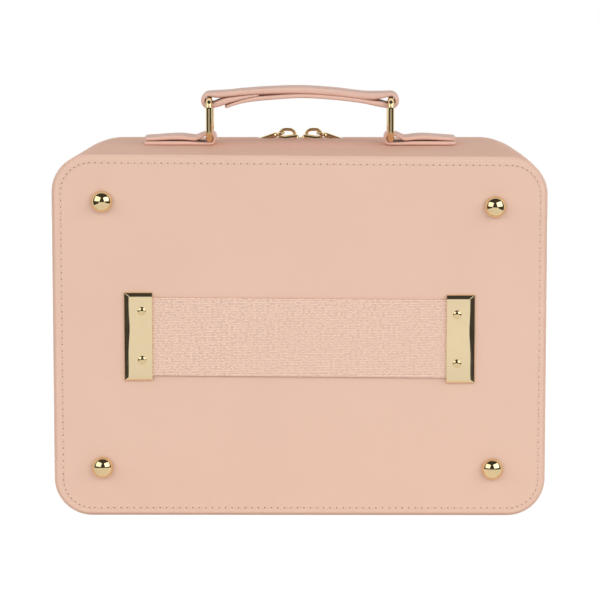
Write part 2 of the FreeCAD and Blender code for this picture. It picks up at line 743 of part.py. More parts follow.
# Zip sliders, each with a hinged pull
for side, sign in (("left", -1), ("right", 1)):
    slider = new_body("zip_slider_" + side)
    centre = "slider_centre" if sign > 0 else "-slider_centre"
    deck = f"({zip_z} + slider_slot / 2)"
    for z in (deck, f"({zip_z} - slider_slot / 2 - slider_plate)"):
        sk = sketch_on(slider, "XY_Plane", z)
        rounded(sk, f"{centre} - slider_length / 2", f"{centre} + slider_length / 2",
                f"{zip_y} - slider_width / 2", f"{zip_y} + slider_width / 2", "slider_width * 0.3")
        plate = slider.newObject("PartDesign::Pad", "Plate")
        plate.Profile = sk
        plate.AllowMultiFace = True
        plate.setExpression("Length", ex("slider_plate"))
        doc.recompute()
        if z == deck:
            sk = face_sketch(slider, zip_y)
            nose0 = f"{centre} - slider_length * 0.4" if sign > 0 else f"{centre} + slider_length * 0.05"
            nose1 = f"{centre} - slider_length * 0.05" if sign > 0 else f"{centre} + slider_length * 0.4"
            rectangle(sk, nose0, nose1, f"{zip_z} - slider_slot / 2", f"{zip_z} + slider_slot / 2 + 0.2")
            pad(slider, sk, "slider_web", both=True)
    sk = face_sketch(slider, zip_y)
    rounded(sk, f"{centre} - bridge_length / 2", f"{centre} + bridge_length / 2", f"{deck} + 0.1", f"{zip_z} + bridge_top",
            "bridge_bend + bridge_wire")
    rounded(sk, f"{centre} - bridge_length / 2 + bridge_wire", f"{centre} + bridge_length / 2 - bridge_wire",
            f"{deck} + 0.1 + bridge_wire", f"{zip_z} + bridge_top - bridge_wire", "bridge_bend")
    pad(slider, sk, "bridge_width", both=True)

    pull = new_body("zip_pull_" + side)
    sk = sketch_on(pull, "XY_Plane", "-pull_thick / 2")
    reach = "(bridge_bend + bridge_wire + pull_gap)"
    if sign > 0:
        rounded(sk, "-pull_bar / 2", "pull_length", "-pull_width / 2", "pull_width / 2", "pull_width * 0.06")
        rounded(sk, "pull_bar / 2", reach, "-pull_window / 2", "pull_window / 2", "pull_window * 0.08")
    else:
        rounded(sk, "-pull_length", "pull_bar / 2", "-pull_width / 2", "pull_width / 2", "pull_width * 0.06")
        rounded(sk, f"-{reach}", "-pull_bar / 2", "-pull_window / 2", "pull_window / 2", "pull_window * 0.08")
    tab = pull.newObject("PartDesign::Pad", "Tab")
    tab.Profile = sk
    tab.setExpression("Length", ex("pull_thick"))
    pull.Placement = FreeCAD.Placement(Vec(0, 0, 0), FreeCAD.Rotation(Vec(0, 1, 0), sign * val("pull_tilt")))
    corner = f"{centre} + bridge_length / 2 - bridge_wire - bridge_bend" if sign > 0 else \
        f"{centre} - bridge_length / 2 + bridge_wire + bridge_bend"
    pull.setExpression("Placement.Base.x", ex(corner))
    pull.setExpression("Placement.Base.y", ex(zip_y))
    pull.setExpression("Placement.Base.z", ex(f"{zip_z} + bridge_top - bridge_wire - bridge_bend"))
    doc.recompute()


# Padded dividers held to the lining by hook and loop
def divider(label, x0, x1, z0, z1):
    body = new_body(label)
    block = body.newObject("PartDesign::AdditiveBox", "Slab")
    block.setExpression("Length", ex(f"({x1}) - ({x0})"))
    block.setExpression("Width", ex("divider_depth"))
    block.setExpression("Height", ex(f"({z1}) - ({z0})"))
    doc.recompute()
    soft = body.newObject("PartDesign::Fillet", "Soft")
    soft.Base = (block, ["Face1"])
    soft.UseAllEdges = True
    soft.setExpression("Radius", ex("divider_round"))
    body.setExpression("Placement.Base.x", ex(x0))
    body.setExpression("Placement.Base.y", ex(f"{inside_y} + divider_gap"))
    body.setExpression("Placement.Base.z", ex(z0))
    doc.recompute()


wall = f"(case_width / 2 - {inside_in} - divider_gap)"
shelf_low = "(divider_height - divider_thick / 2)"
shelf_high = "(divider_height + divider_thick / 2)"
divider("divider_long", f"-{wall}", wall, shelf_low, shelf_high)
for name, x in (("left", "-divider_upper_x"), ("right", "divider_upper_x")):
    divider("divider_upper_" + name, f"{x} - divider_thick / 2", f"{x} + divider_thick / 2",
            f"{shelf_high} + divider_gap", f"case_height - {inside_in} - divider_gap")
for name, x in (("left", "-divider_lower_x"), ("middle", "0"), ("right", "divider_lower_x")):
    divider("divider_lower_" + name, f"{x} - divider_thick / 2", f"{x} + divider_thick / 2",
            f"{inside_in} + divider_gap", f"{shelf_low} - divider_gap")

doc.recompute()
for obj in doc.Objects:
    if "Invalid" in obj.State or "Error" in obj.State:
        raise RuntimeError(f"{obj.Label} is in state {obj.State}")
for obj in made:
    if obj.Shape.isNull() or not obj.Shape.isValid() or not obj.Shape.Solids:
        raise RuntimeError(obj.Label + " has no valid solid")
    obj.Shape.exportStep(f"parts/{obj.Label}.step")
print(len(made), "nodes written")
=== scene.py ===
import math
import bmesh
import bpy
import numpy as np
from mathutils import Matrix


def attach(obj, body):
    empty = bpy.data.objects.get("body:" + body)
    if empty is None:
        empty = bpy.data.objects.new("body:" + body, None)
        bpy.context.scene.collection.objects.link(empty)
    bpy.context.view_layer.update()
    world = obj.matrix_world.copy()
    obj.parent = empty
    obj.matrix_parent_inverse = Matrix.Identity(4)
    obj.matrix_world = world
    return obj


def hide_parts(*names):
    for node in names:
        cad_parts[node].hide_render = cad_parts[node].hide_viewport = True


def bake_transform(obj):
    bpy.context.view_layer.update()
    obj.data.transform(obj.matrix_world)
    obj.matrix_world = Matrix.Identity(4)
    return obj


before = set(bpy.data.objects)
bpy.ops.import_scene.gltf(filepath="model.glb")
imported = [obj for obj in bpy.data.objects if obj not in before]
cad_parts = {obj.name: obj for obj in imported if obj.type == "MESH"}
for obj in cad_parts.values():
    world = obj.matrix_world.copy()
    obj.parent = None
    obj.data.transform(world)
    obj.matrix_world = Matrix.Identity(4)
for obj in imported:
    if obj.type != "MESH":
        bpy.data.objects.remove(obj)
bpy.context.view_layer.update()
print("frame loaded")

mm = 0.001
weld = 2e-6  # metres, closes seams and poles
curveSteps = 10  # points between two given points of a curve
caseForm = dict(
    width=300.0, height=222.0, corner=23.0,
    rimCorner=34.5,  # the top corners are rounder at the rim
    lean=2.0,  # how far the sewn back edge sinks at its upper right
    backY=-75.0, rimY=45.0, zipY=51.0, lidRimY=57.0, frontY=75.0,
    panelThick=1.6, lidInset=1.6,
)
midZ = caseForm["height"] / 2
backEdge = caseForm["backY"] + caseForm["panelThick"]
frontEdge = caseForm["frontY"] - caseForm["panelThick"]


# Mesh helpers, every size in millimetres until the mesh is filled


# Points and quads become one smooth object: doubles merged, faces turned outwards, creases kept past an angle
def fillMesh(name, verts, quads, material, sharp=None, uv=None):
    mesh = bpy.data.meshes.new(name)
    verts = np.asarray(verts, float).reshape(-1, 3) * mm
    quads = np.asarray(quads, int).reshape(-1, 4)
    mesh.vertices.add(len(verts))
    mesh.vertices.foreach_set("co", verts.ravel())
    mesh.loops.add(quads.size)
    mesh.loops.foreach_set("vertex_index", quads.ravel())
    mesh.polygons.add(len(quads))
    mesh.polygons.foreach_set("loop_start", np.arange(0, quads.size, 4))
    mesh.polygons.foreach_set("loop_total", np.full(len(quads), 4))
    mesh.update(calc_edges=True)
    if uv is not None:
        layer = mesh.uv_layers.new(name="weave")
        layer.data.foreach_set("uv", np.asarray(uv, float).reshape(-1, 2)[quads.ravel()].ravel())
    work = bmesh.new()
    work.from_mesh(mesh)
    bmesh.ops.remove_doubles(work, verts=work.verts, dist=weld)
    bmesh.ops.recalc_face_normals(work, faces=work.faces)
    work.to_mesh(mesh)
    work.free()
    mesh.validate()
    mesh.polygons.foreach_set("use_smooth", np.ones(len(mesh.polygons), bool))
    if sharp:
        mesh.set_sharp_from_angle(angle=math.radians(sharp))
    mesh.materials.append(material)
    piece = bpy.data.objects.new(name, mesh)
    bpy.context.scene.collection.objects.link(piece)
    return piece


# Quads of a grid: each joins a point to the next row and the next column, and wraps round where asked
def gridQuads(rows, cols, wrapRows=False, wrapCols=False):
    a = np.arange(rows if wrapRows else rows - 1)[:, None]
    b = np.arange(cols if wrapCols else cols - 1)[None, :]
    a2, b2 = (a + 1) % rows, (b + 1) % cols
    corners = [a * cols + b, a * cols + b2, a2 * cols + b2, a2 * cols + b]
    return np.stack(corners, axis=-1).reshape(-1, 4)


# The same small grid many times over: each copy's indices start where the one before ended
def repeatQuads(copies, rows, cols):
    quads = gridQuads(rows, cols, False, True)
    return (quads[None] + (np.arange(copies) * rows * cols)[:, None, None]).reshape(-1, 4)


# A walk round a rounded rectangle from the middle of its bottom: four straights and four quarter turns, cut
# at even steps of length. The low and the high turns may differ, and arrays of radii give several walks
def roundedWalk(width, height, low, high, count, start=0.0):
    low, high = np.broadcast_arrays(np.atleast_1d(low), np.atleast_1d(high))
    radius = np.stack([low, low, high, high, high, high, low, low], -1).astype(float)
    lengths = radius * math.pi / 2
    lengths[:, 0], lengths[:, 4] = width - 2 * low, width - 2 * high
    lengths[:, 2] = lengths[:, 6] = height - low - high
    ends = np.cumsum(lengths, -1)
    total = ends[:, -1]
    run = (lengths[:, 0] / 2 + start + np.arange(count)[:, None] * total / count) % total
    leg = (run[..., None] >= ends).sum(-1).clip(0, 7)
    row = np.arange(len(total))[None, :]
    into, bend = run - (ends - lengths)[row, leg], radius[row, leg]
    aside = np.array([1, 1, 1, 1, -1, -1, -1, -1])[leg] * (width / 2 - bend)
    above = np.array([-1, -1, 1, 1, 1, 1, -1, -1])[leg] * (height / 2 - bend)
    turning = leg % 2 == 1
    angle = np.radians([-90, -90, 0, 0, 90, 90, 180, 180])[leg] + np.where(turning, into / bend, 0)
    normal = np.stack([np.cos(angle), np.sin(angle)], -1)
    along = np.stack([-normal[..., 1], normal[..., 0]], -1)
    back = np.where(turning, 0, into - lengths[row, leg])[..., None]
    spot = np.stack([aside, above], -1) + normal * bend[..., None] + along * back
    return spot, normal, along, total


# The top corners grow rounder in a straight line from the back edge to the rim of the tray
def topCorner(depth):
    f = caseForm
    reach = np.clip((np.asarray(depth, float) - f["backY"]) / (f["rimY"] - f["backY"]), 0, 1)
    return f["corner"] + (f["rimCorner"] - f["corner"]) * reach


# The outline of the case at one or more depths: a rounded walk with the top corners of each depth
def caseWalk(count, depth, start=0.0):
    f = caseForm
    walk = roundedWalk(f["width"], f["height"], f["corner"], topCorner(depth), count, start)
    spot, normal, along, length = walk
    return spot + np.array([0, midZ]), normal, along, length


# The same outline at one depth only
def caseWalkAt(count, depth, start=0.0):
    spot, normal, along, length = caseWalk(count, depth, start)
    return spot[:, 0], normal[:, 0], along[:, 0], length[0]


# The hand-sewn back edge sinks towards the upper right: a product of three shares, cubed along the depth
def settle(x, y, z):
    f = caseForm
    upper = np.clip((z - midZ) / midZ, 0, 1)
    rightward = np.clip(0.5 + x / f["width"], 0, 1)
    backward = np.clip((f["rimY"] - y) / (f["rimY"] - f["backY"]), 0, 1) ** 3
    return np.stack([x, y, z - f["lean"] * upper * rightward * backward], -1)


# A wall section of (inset, depth) pairs carried round the outline of the case
def ringWall(name, section, material, count=560, sharp=None, ripple=None):
    spot, normal, _, length = caseWalk(count, section[:, 1])
    depth = section[:, 1] + np.zeros((count, 1))
    inset = section[:, 0] + np.zeros((count, 1))
    if ripple is not None:
        inset = inset + ripple(np.arange(count)[:, None] * length / count, depth)
    x, z = spot[..., 0] - normal[..., 0] * inset, spot[..., 1] - normal[..., 1] * inset
    return fillMesh(name, settle(x, depth, z), gridQuads(count, len(section), True, True), material, sharp)


# A tray-like shell: a profile from the middle of its plate out to the wall, round the rim and back in.
# Each profile point holds (inset, depth, share of the outline), and a share of nought is the middle
def trayShell(name, outer, thick, plateY, rimEndY, material, count=280, rows=12):
    inner = outer + thick
    innerY = plateY + np.sign(rimEndY - plateY) * thick
    wall = np.linspace(0, 1, rows)
    outside = np.stack([np.full(rows, outer), plateY + wall * (rimEndY - plateY), np.ones(rows)], -1)
    inside = np.stack([np.full(rows, inner), rimEndY + wall * (innerY - rimEndY), np.ones(rows)], -1)
    profile = np.concatenate([[[outer, plateY, 0]], outside, inside, [[inner, innerY, 0]]])
    inset, depth, share = profile.T
    spot, normal, _, _ = caseWalk(count, depth)
    x = (spot[..., 0] - normal[..., 0] * inset) * share
    z = midZ + (spot[..., 1] - midZ - normal[..., 1] * inset) * share
    verts = settle(x, depth + 0 * x, z)
    return fillMesh(name, verts, gridQuads(count, len(profile), True, False), material, 40)


# Points on an arc about a centre, between two angles in degrees
def arcPoints(cx, cy, radius, start, stop, count=8):
    turn = np.radians(np.linspace(start, stop, count))
    return np.stack([cx + radius * np.cos(turn), cy + radius * np.sin(turn)], -1)


# How far inside the edge of a rounded rectangle a point lies
def insideDistance(a, b, width, height, corner):
    qa, qb = np.abs(a) - (width / 2 - corner), np.abs(b) - (height / 2 - corner)
    return corner - np.hypot(np.maximum(qa, 0), np.maximum(qb, 0)) - np.minimum(np.maximum(qa, qb), 0)


# Quarter round: rises from nought at the edge to one at a distance of reach, as a circle does
def edgeRoll(d, reach):
    return np.sqrt(1 - (1 - np.clip(d / reach, 0, 1)) ** 2)


# A ridge or a groove along an edge: a bell curve of the distance from the edge
def bell(d, middle, wide):
    return np.exp(-((d - middle) / wide) ** 2)


# A slab on a rounded rectangle: rows narrow round the corners, and each side stands by a height that depends
# on the place and on the distance from the edge
def slab(name, width, height, corner, front, back, place, material, cols=90, rows=70, crowd=0.6, sharp=None,
         uv=False, highCorner=None):
    u, v = np.linspace(-1, 1, cols), np.linspace(-1, 1, rows)
    ease = lambda q: (1 - crowd) * q + crowd * np.sin(q * math.pi / 2)  # rows crowd towards the edges
    b = (ease(v) * height / 2)[:, None] + np.zeros((1, cols))
    corner = np.where(b > 0, highCorner or corner, corner)
    over = np.clip(np.abs(b) - (height / 2 - corner), 0, corner)
    half = width / 2 - corner + np.sqrt(np.maximum(corner ** 2 - over ** 2, 0))
    a = ease(u)[None, :] * half
    d = np.maximum(insideDistance(a, b, width, height, corner), 0)
    top, low = place(a, b, front(a, b, d)), place(a, b, -back(a, b, d))
    flat = gridQuads(rows, cols)
    index = np.arange(rows * cols).reshape(rows, cols)
    rim = np.concatenate([index[0, :-1], index[:-1, -1], index[-1, :0:-1], index[:0:-1, 0]])
    nextRim = np.roll(rim, -1)
    n = rows * cols
    sides = np.stack([rim, nextRim, nextRim + n, rim + n], -1)
    verts = np.concatenate([top.reshape(-1, 3), low.reshape(-1, 3)])
    coords = np.tile(np.stack([a, b], -1).reshape(-1, 2) * mm, (2, 1)) if uv else None
    return fillMesh(name, verts, np.concatenate([flat, flat + n, sides]), material, sharp, coords)


# A flat side of a slab
def level(a, b, d):
    return 0 * d


# A profile of (radius, height) turned about an axis through a point
def turned(name, profile, centre, axis, material, count=48, sharp=None):
    axis = np.array(axis, float)
    side = np.cross(axis, [0.3, 0.2, 1.0] if abs(axis[2]) < 0.9 else [1.0, 0.2, 0.1])
    side /= np.linalg.norm(side)
    other = np.cross(axis, side)
    turn = np.arange(count) * 2 * math.pi / count
    spoke = np.cos(turn)[:, None, None] * side + np.sin(turn)[:, None, None] * other
    verts = np.array(centre) + spoke * profile[None, :, :1] + axis * profile[None, :, 1:]
    return fillMesh(name, verts, gridQuads(count, len(profile), True, False), material, sharp)


# Smooth curve through points: each span is a cubic whose end slopes come from the neighbouring points
def throughPoints(points, steps=curveSteps):
    p = np.asarray(points, float)
    ext = np.concatenate([[2 * p[0] - p[1]], p, [2 * p[-1] - p[-2]]])
    t = (np.arange(steps) / steps)[None, :, None]
    p0, p1, p2, p3 = (ext[i:len(ext) - 3 + i][:, None, :] for i in range(4))
    square, cube = 2 * p0 - 5 * p1 + 4 * p2 - p3, 3 * p1 - p0 - 3 * p2 + p3
    span = 0.5 * (2 * p1 + (p2 - p0) * t + square * t ** 2 + cube * t ** 3)
    return np.concatenate([span.reshape(-1, p.shape[1]), p[-1:]])


# A leather band: a soft-cornered section carried along a curve in the XZ plane, closed by shrinking rings.
# The section is a superellipse of the given power, swollen on its outer side by crown
def band(name, path, thick, halfWidth, material, middleY=0.0, power=5.0, crown=None, around=40, endRound=0.0):
    path = np.asarray(path, float)
    slope = np.gradient(path, axis=0)
    slope /= np.linalg.norm(slope, axis=1)[:, None]
    normal = np.stack([-slope[:, 1], slope[:, 0]], -1)
    turn = np.arange(around) * 2 * math.pi / around
    c, s = np.cos(turn), np.sin(turn)
    wide = np.sign(c) * np.abs(c) ** (2 / power)
    deep = np.sign(s) * np.abs(s) ** (2 / power)
    capIn = np.array([0.0, 0.35, 0.7, 0.92, 1.0])
    capSize = np.array([0.0, 0.75, 0.93, 0.99, 1.0])
    capLong = 0.45 * thick[0]
    first = path[:1] - slope[:1] * (capLong * (1 - capIn))[:, None]
    last = path[-1:] + slope[-1:] * (capLong * (1 - capIn[::-1]))[:, None]
    core = np.concatenate([first[:-1], path, last[1:]])
    # the rings of both ends keep the values of the path's own ends
    ended = lambda q: np.concatenate([np.repeat(q[:1], 4, 0), q, np.repeat(q[-1:], 4, 0)])
    frames, half = ended(normal), ended(thick) / 2
    swell = ended(np.zeros(len(path)) if crown is None else crown)
    size = np.concatenate([capSize[:-1], np.ones(len(path)), capSize[::-1][1:]])
    puff = (deep > 0)[None, :] * (1 - np.abs(wide) ** 2.5)[None, :]
    out = (deep[None, :] * half[:, None] + swell[:, None] * puff) * size[:, None]
    across = wide[None, :] * (halfWidth * (0.25 + 0.75 * size) * (size > 0))[:, None]
    if endRound:
        step = np.concatenate([[0], np.cumsum(np.linalg.norm(np.diff(core, axis=0), axis=1))])
        near = np.minimum(step, step[-1] - step)
        across = across * (1 - endRound / halfWidth * (1 - edgeRoll(near, endRound)))[:, None]
    x = core[:, :1] + frames[:, :1] * out
    z = core[:, 1:] + frames[:, 1:] * out
    verts = np.stack([x, middleY + across, z], -1)
    return fillMesh(name, verts, gridQuads(len(core), around, False, True), material)


# A round wire carried round a rounded walk that lies in the YZ plane
def wireLoop(name, centre, width, height, corner, radius, material, count=160, around=24):
    spot, normal = (part[:, 0] for part in roundedWalk(width, height, corner, corner, count)[:2])
    turn = np.arange(around) * 2 * math.pi / around
    reach = radius * np.cos(turn)[None, :]
    y = centre[1] + spot[:, :1] + normal[:, :1] * reach
    z = centre[2] + spot[:, 1:] + normal[:, 1:] * reach
    x = centre[0] + radius * np.sin(turn)[None, :] + 0 * y
    return fillMesh(name, np.stack([x, y, z], -1), gridQuads(count, around, True, True), material)


# A piece rides on a body and stands for the nodes that it replaces; the slot's name is not used
def put(piece, body, slotName, *nodes):
    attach(piece, body)
    if nodes:
        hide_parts(*nodes)
    return piece


# Materials


# A material of one shader, with what is the same all over set on the shader's own sockets
def blank(name, color, roughness, metallic=0.0):
    material = bpy.data.materials.new(name)
    material.use_nodes = True
    tree = material.node_tree
    shader = tree.nodes["Principled BSDF"]
    shader.inputs["Base Color"].default_value = (*color, 1)
    shader.inputs["Roughness"].default_value = roughness
    shader.inputs["Metallic"].default_value = metallic
    return material, tree, shader


# A node and its settings: each keyword is a property of the node or else a socket, with _ for a space
def add(tree, kind, **values):
    node = tree.nodes.new(kind)
    for key, value in values.items():
        if hasattr(node, key):
            setattr(node, key, value)
        else:
            node.inputs[key.replace("_", " ")].default_value = value
    return node


# One sum: an operation on one or two sockets
def reckon(tree, operation, *values):
    node = add(tree, "ShaderNodeMath", operation=operation)
    for socket, value in zip(node.inputs, values):
        tree.links.new(value, socket)
    return node.outputs["Value"]


# Soft random clouds of a given scale
def noise(tree, source, scale, detail=2.0, rough=0.5):
    node = add(tree, "ShaderNodeTexNoise", Scale=scale, Detail=detail, Roughness=rough)
    tree.links.new(source, node.inputs["Vector"])
    return node.outputs["Fac"]


# Random cells of a given scale, as the distance from each cell's middle
def cells(tree, source, scale):
    node = add(tree, "ShaderNodeTexVoronoi", Scale=scale)
    tree.links.new(source, node.inputs["Vector"])
    return node.outputs["Distance"]


# A value carried in a straight line from one range to another, and held at its ends
def span(tree, value, low, high, lowTo, highTo):
    node = add(tree, "ShaderNodeMapRange", From_Min=low, From_Max=high, To_Min=lowTo, To_Max=highTo)
    tree.links.new(value, node.inputs["Value"])
    return node.outputs["Result"]


# The base colour runs from dark to light with a value
def tint(tree, shader, value, dark, light):
    ramp = add(tree, "ShaderNodeValToRGB")
    ramp.color_ramp.elements[0].color = (*dark, 1)
    ramp.color_ramp.elements[1].color = (*light, 1)
    tree.links.new(value, ramp.inputs["Fac"])
    tree.links.new(ramp.outputs["Color"], shader.inputs["Base Color"])


# A value stands up from the surface, on top of the bump below it
def bump(tree, shader, height, strength, distance, below=None):
    node = add(tree, "ShaderNodeBump", Strength=strength, Distance=distance)
    tree.links.new(height, node.inputs["Height"])
    if below is not None:
        tree.links.new(below, node.inputs["Normal"])
    tree.links.new(node.outputs["Normal"], shader.inputs["Normal"])
    return node.outputs["Normal"]


# Places in the case's own frame
def objectCoords(tree):
    return add(tree, "ShaderNodeTexCoord").outputs["Object"]


# A colour made darker or lighter by one factor
def shade(color, factor):
    return tuple(min(c * factor, 1) for c in color)


grainForm = dict(cloud=14.0, fine=2600.0, cell=1500.0, cellDeep=0.00012, fineDeep=0.0001)


# Coated leather: slow clouds of colour, pebbled cells and a fine grain that also breaks up the gloss
def leatherFinish(name, color, vary=0.05, roughness=0.46, grain=0.10, shine=0.3):
    material, tree, shader = blank(name, color, roughness)
    coords = objectCoords(tree)
    cloud = noise(tree, coords, grainForm["cloud"], 3.0)
    fine = noise(tree, coords, grainForm["fine"], 2.0)
    cell = cells(tree, coords, grainForm["cell"])
    tint(tree, shader, span(tree, cloud, 0.3, 0.7, 0, 1), shade(color, 1 - vary), shade(color, 1 + vary))
    gloss = span(tree, fine, 0.3, 0.7, roughness - 0.05, roughness + 0.06)
    tree.links.new(gloss, shader.inputs["Roughness"])
    low = bump(tree, shader, cell, grain, grainForm["cellDeep"])
    bump(tree, shader, fine, grain * 0.6, grainForm["fineDeep"], low)
    shader.inputs["Specular IOR Level"].default_value = shine
    return material


# Cloth: cells a thread apart, darker between them as painted shade in the gaps between threads, under a slow
# cloud
def clothFinish(name, color, pitch, roughness=0.85, sheen=0.25, depth=0.35):
    material, tree, shader = blank(name, color, roughness)
    coords = objectCoords(tree)
    weave = cells(tree, coords, 1 / (pitch * mm))
    cloud = noise(tree, coords, 60.0, 3.0)
    mix = reckon(tree, "MULTIPLY", weave, span(tree, cloud, 0.2, 0.8, 0.7, 1.3))
    # the cell edges are painted darker: shade between the threads
    tint(tree, shader, mix, tuple(c * 1.06 for c in color), shade(color, 0.72))
    bump(tree, shader, weave, depth, 0.0004)
    shader.inputs["Sheen Weight"].default_value = sheen
    return material


# Metal: a faint haze varies the gloss and the tone
def metalFinish(name, color, roughness, vary=0.03):
    material, tree, shader = blank(name, color, roughness, 1.0)
    haze = noise(tree, objectCoords(tree), 180.0, 3.0)
    gloss = span(tree, haze, 0.3, 0.7, roughness - vary, roughness + vary)
    tree.links.new(gloss, shader.inputs["Roughness"])
    tint(tree, shader, haze, shade(color, 0.97), color)
    return material


# The wall takes the panel's paler tone where it rolls over the back and front edges: a straight mix by the
# distance from the middle, in metres
def paleEdges(material, pale, fromY=0.066, toY=0.073):
    tree = material.node_tree
    shader = tree.nodes["Principled BSDF"]
    place = add(tree, "ShaderNodeSeparateXYZ")
    tree.links.new(objectCoords(tree), place.inputs["Vector"])
    away = reckon(tree, "ABSOLUTE", place.outputs["Y"])
    mix = add(tree, "ShaderNodeMix", data_type="RGBA")
    tree.links.new(span(tree, away, fromY, toY, 0, 1), mix.inputs[0])
    tree.links.new(shader.inputs["Base Color"].links[0].from_socket, mix.inputs[6])
    mix.inputs[7].default_value = (*pale, 1)
    tree.links.new(mix.outputs[2], shader.inputs["Base Color"])


# Woven elastic: staggered short yarns, uneven in height, with black gaps between them as painted shade,
# tinted by a slow cloud
def elasticFinish(color, yarn=1.5, rib=1.0):
    material, tree, shader = blank("elasticWeave", color, 0.8)
    coords = add(tree, "ShaderNodeTexCoord").outputs["UV"]
    stretch = add(tree, "ShaderNodeMapping", Scale=(1 / (yarn * mm), 1 / (rib * mm), 1))
    tree.links.new(coords, stretch.inputs["Vector"])
    # the black mortar paints the shade in the gaps between the yarns
    weave = add(tree, "ShaderNodeTexBrick", Scale=1.0, Mortar_Size=0.17, Mortar_Smooth=0.8, Brick_Width=1.0,
                Row_Height=1.0, Color1=(1, 1, 1, 1), Color2=(0.84, 0.84, 0.84, 1), Mortar=(0, 0, 0, 1))
    tree.links.new(stretch.outputs["Vector"], weave.inputs["Vector"])
    speck = noise(tree, stretch.outputs["Vector"], 0.9, 0.0)
    mix = reckon(tree, "MULTIPLY", weave.outputs["Color"], span(tree, speck, 0.3, 0.7, 0.55, 1.3))
    tint(tree, shader, mix, shade(color, 0.60), shade(color, 1.10))
    bump(tree, shader, mix, 0.35, 0.0003)
    shader.inputs["Specular IOR Level"].default_value = 0.15
    return material


pink = (0.80, 0.545, 0.43)
panelLeather = leatherFinish("panelLeather", pink, 0.012)
wallLeather = leatherFinish("wallLeather", (0.848, 0.527, 0.402), 0.03, 0.58, 0.10, 0.12)
paleEdges(wallLeather, pink)
strapLeather = leatherFinish("strapLeather", (0.765, 0.522, 0.433), 0.03, 0.5, 0.10, 0.12)
threadPink = clothFinish("threadPink", (0.95, 0.72, 0.61), 0.35, 0.7, 0.1)
# dark brown paints the shade inside the needle holes
paintedHoleShade = leatherFinish("paintedHoleShade", (0.25, 0.14, 0.10), 0.3, 0.8)
goldBright = metalFinish("goldBright", (0.88, 0.70, 0.40), 0.06)
goldPlate = metalFinish("goldPlate", (0.91, 0.74, 0.465), 0.10)
zipCloth = clothFinish("zipCloth", (0.66, 0.42, 0.33), 0.55)
liningCloth = clothFinish("liningCloth", (0.72, 0.50, 0.42), 0.45)
dividerCloth = clothFinish("dividerCloth", (0.70, 0.47, 0.39), 0.45)
foamPale = clothFinish("foamPale", (0.80, 0.78, 0.72), 0.9, 0.95, 0.0)
boardBrown = clothFinish("boardBrown", (0.36, 0.27, 0.19), 1.6, 0.9, 0.0, 0.15)
steelSatin = metalFinish("steelSatin", (0.62, 0.62, 0.63), 0.32, 0.06)
mirrorSilver = metalFinish("mirrorSilver", (0.93, 0.93, 0.94), 0.03, 0.01)
bezelSatin = leatherFinish("bezelSatin", (0.72, 0.47, 0.37), 0.02, 0.4, 0.03)
elasticWeave = elasticFinish((1.0, 0.66, 0.535))
print("materials made")


# Leather walls of tray and lid

wallForm = dict(
    edge=1.5, thick=1.2, flange=12.0, lap=7.0, fold=0.5,
    rim=1.8, hem=2.8, hemWide=8.0, hemTop=0.8,
    seamIn=4.5, seamSunk=0.42,
    seamDip=[(0.0, 1.1), (0.12, 0.6), (0.3, 0.0), (0.12, -0.6), (0.0, -1.1)],  # (dip, place across the seam)
    lidRim=0.6, lidHem=0.4, lidFlat=(1.5, 0.6), lidSeamIn=3.6, lidSeamSunk=0.1,
)


# Tray wall, from the hem inside over the rim, the seam and the wall, round the back edge and in under the
# panel: arcs joined by straights, as (inset, depth) pairs
def trayWallSection(rows=26):
    f, rim = wallForm, caseForm["rimY"]
    inner = backEdge + f["thick"]
    return np.concatenate([
        [[f["hem"], rim - f["hemWide"]], [f["hem"], rim - f["hemTop"]]],
        arcPoints(f["hem"] - f["fold"], rim - f["fold"], f["fold"], 0, 90, 4)[1:],
        arcPoints(f["rim"], rim - f["rim"], f["rim"], 90, 180, 8),
        [[dip, rim - f["seamIn"] + across] for dip, across in f["seamDip"]],
        np.stack([np.zeros(rows), np.linspace(rim - f["hemWide"], backEdge + f["edge"] + 1, rows)], -1),
        arcPoints(f["edge"], backEdge + f["edge"], f["edge"], 180, 270, 10),
        [[f["lap"], backEdge], [f["flange"], backEdge], [f["flange"], inner], [f["thick"] + f["fold"], inner],
         [f["thick"], inner + f["fold"]], [f["thick"], rim - f["hemWide"]]]])


# Lid wall, from its rim over the wall, round the front edge and in under the panel, joined in the same way
def lidWallSection(rows=8):
    f, rim, out = wallForm, caseForm["lidRimY"], caseForm["lidInset"]
    inner = frontEdge - f["thick"]
    flat = np.linspace(rim + f["lidFlat"][0], frontEdge - f["edge"] - f["lidFlat"][1], rows)
    return np.concatenate([
        [[out + f["thick"], rim + f["lidHem"]]],
        arcPoints(out + f["lidRim"], rim + f["lidRim"], f["lidRim"], 0, -180, 8),
        np.stack([np.full(rows, out), flat], -1),
        arcPoints(out + f["edge"], frontEdge - f["edge"], f["edge"], 180, 90, 10),
        [[out + f["lap"], frontEdge], [out + f["flange"], frontEdge], [out + f["flange"], inner],
         [out + f["thick"] + f["fold"], inner], [out + f["thick"], inner - f["fold"]]]])


rippleForm = dict(
    swell=0.06, second=0.6, waves=(31, 23, 17, 41), back=-70.0, backFade=25.0, rim=40.0, rimFade=20.0,
)


# Leather drawn over board lies a little uneven: two slow waves, faded out at the edges
def softRipple(run, depth):
    f = rippleForm
    fade = np.clip((depth - f["back"]) / f["backFade"], 0, 1)
    fade = fade * np.clip((f["rim"] - depth) / f["rimFade"], 0, 1)
    first = np.sin(run / f["waves"][0] + depth / f["waves"][1])
    second = np.sin(run / f["waves"][2] - depth / f["waves"][3])
    return f["swell"] * fade * (first + f["second"] * second)


trayWall = ringWall("trayWall", trayWallSection(), wallLeather, sharp=70, ripple=softRipple)
put(trayWall, "tray", "wall_leather", "tray_cover")
put(ringWall("lidWall", lidWallSection(), wallLeather, sharp=70), "lid", "wall_leather", "lid_cover")
print("walls made")

# Flat panels on the back and the front

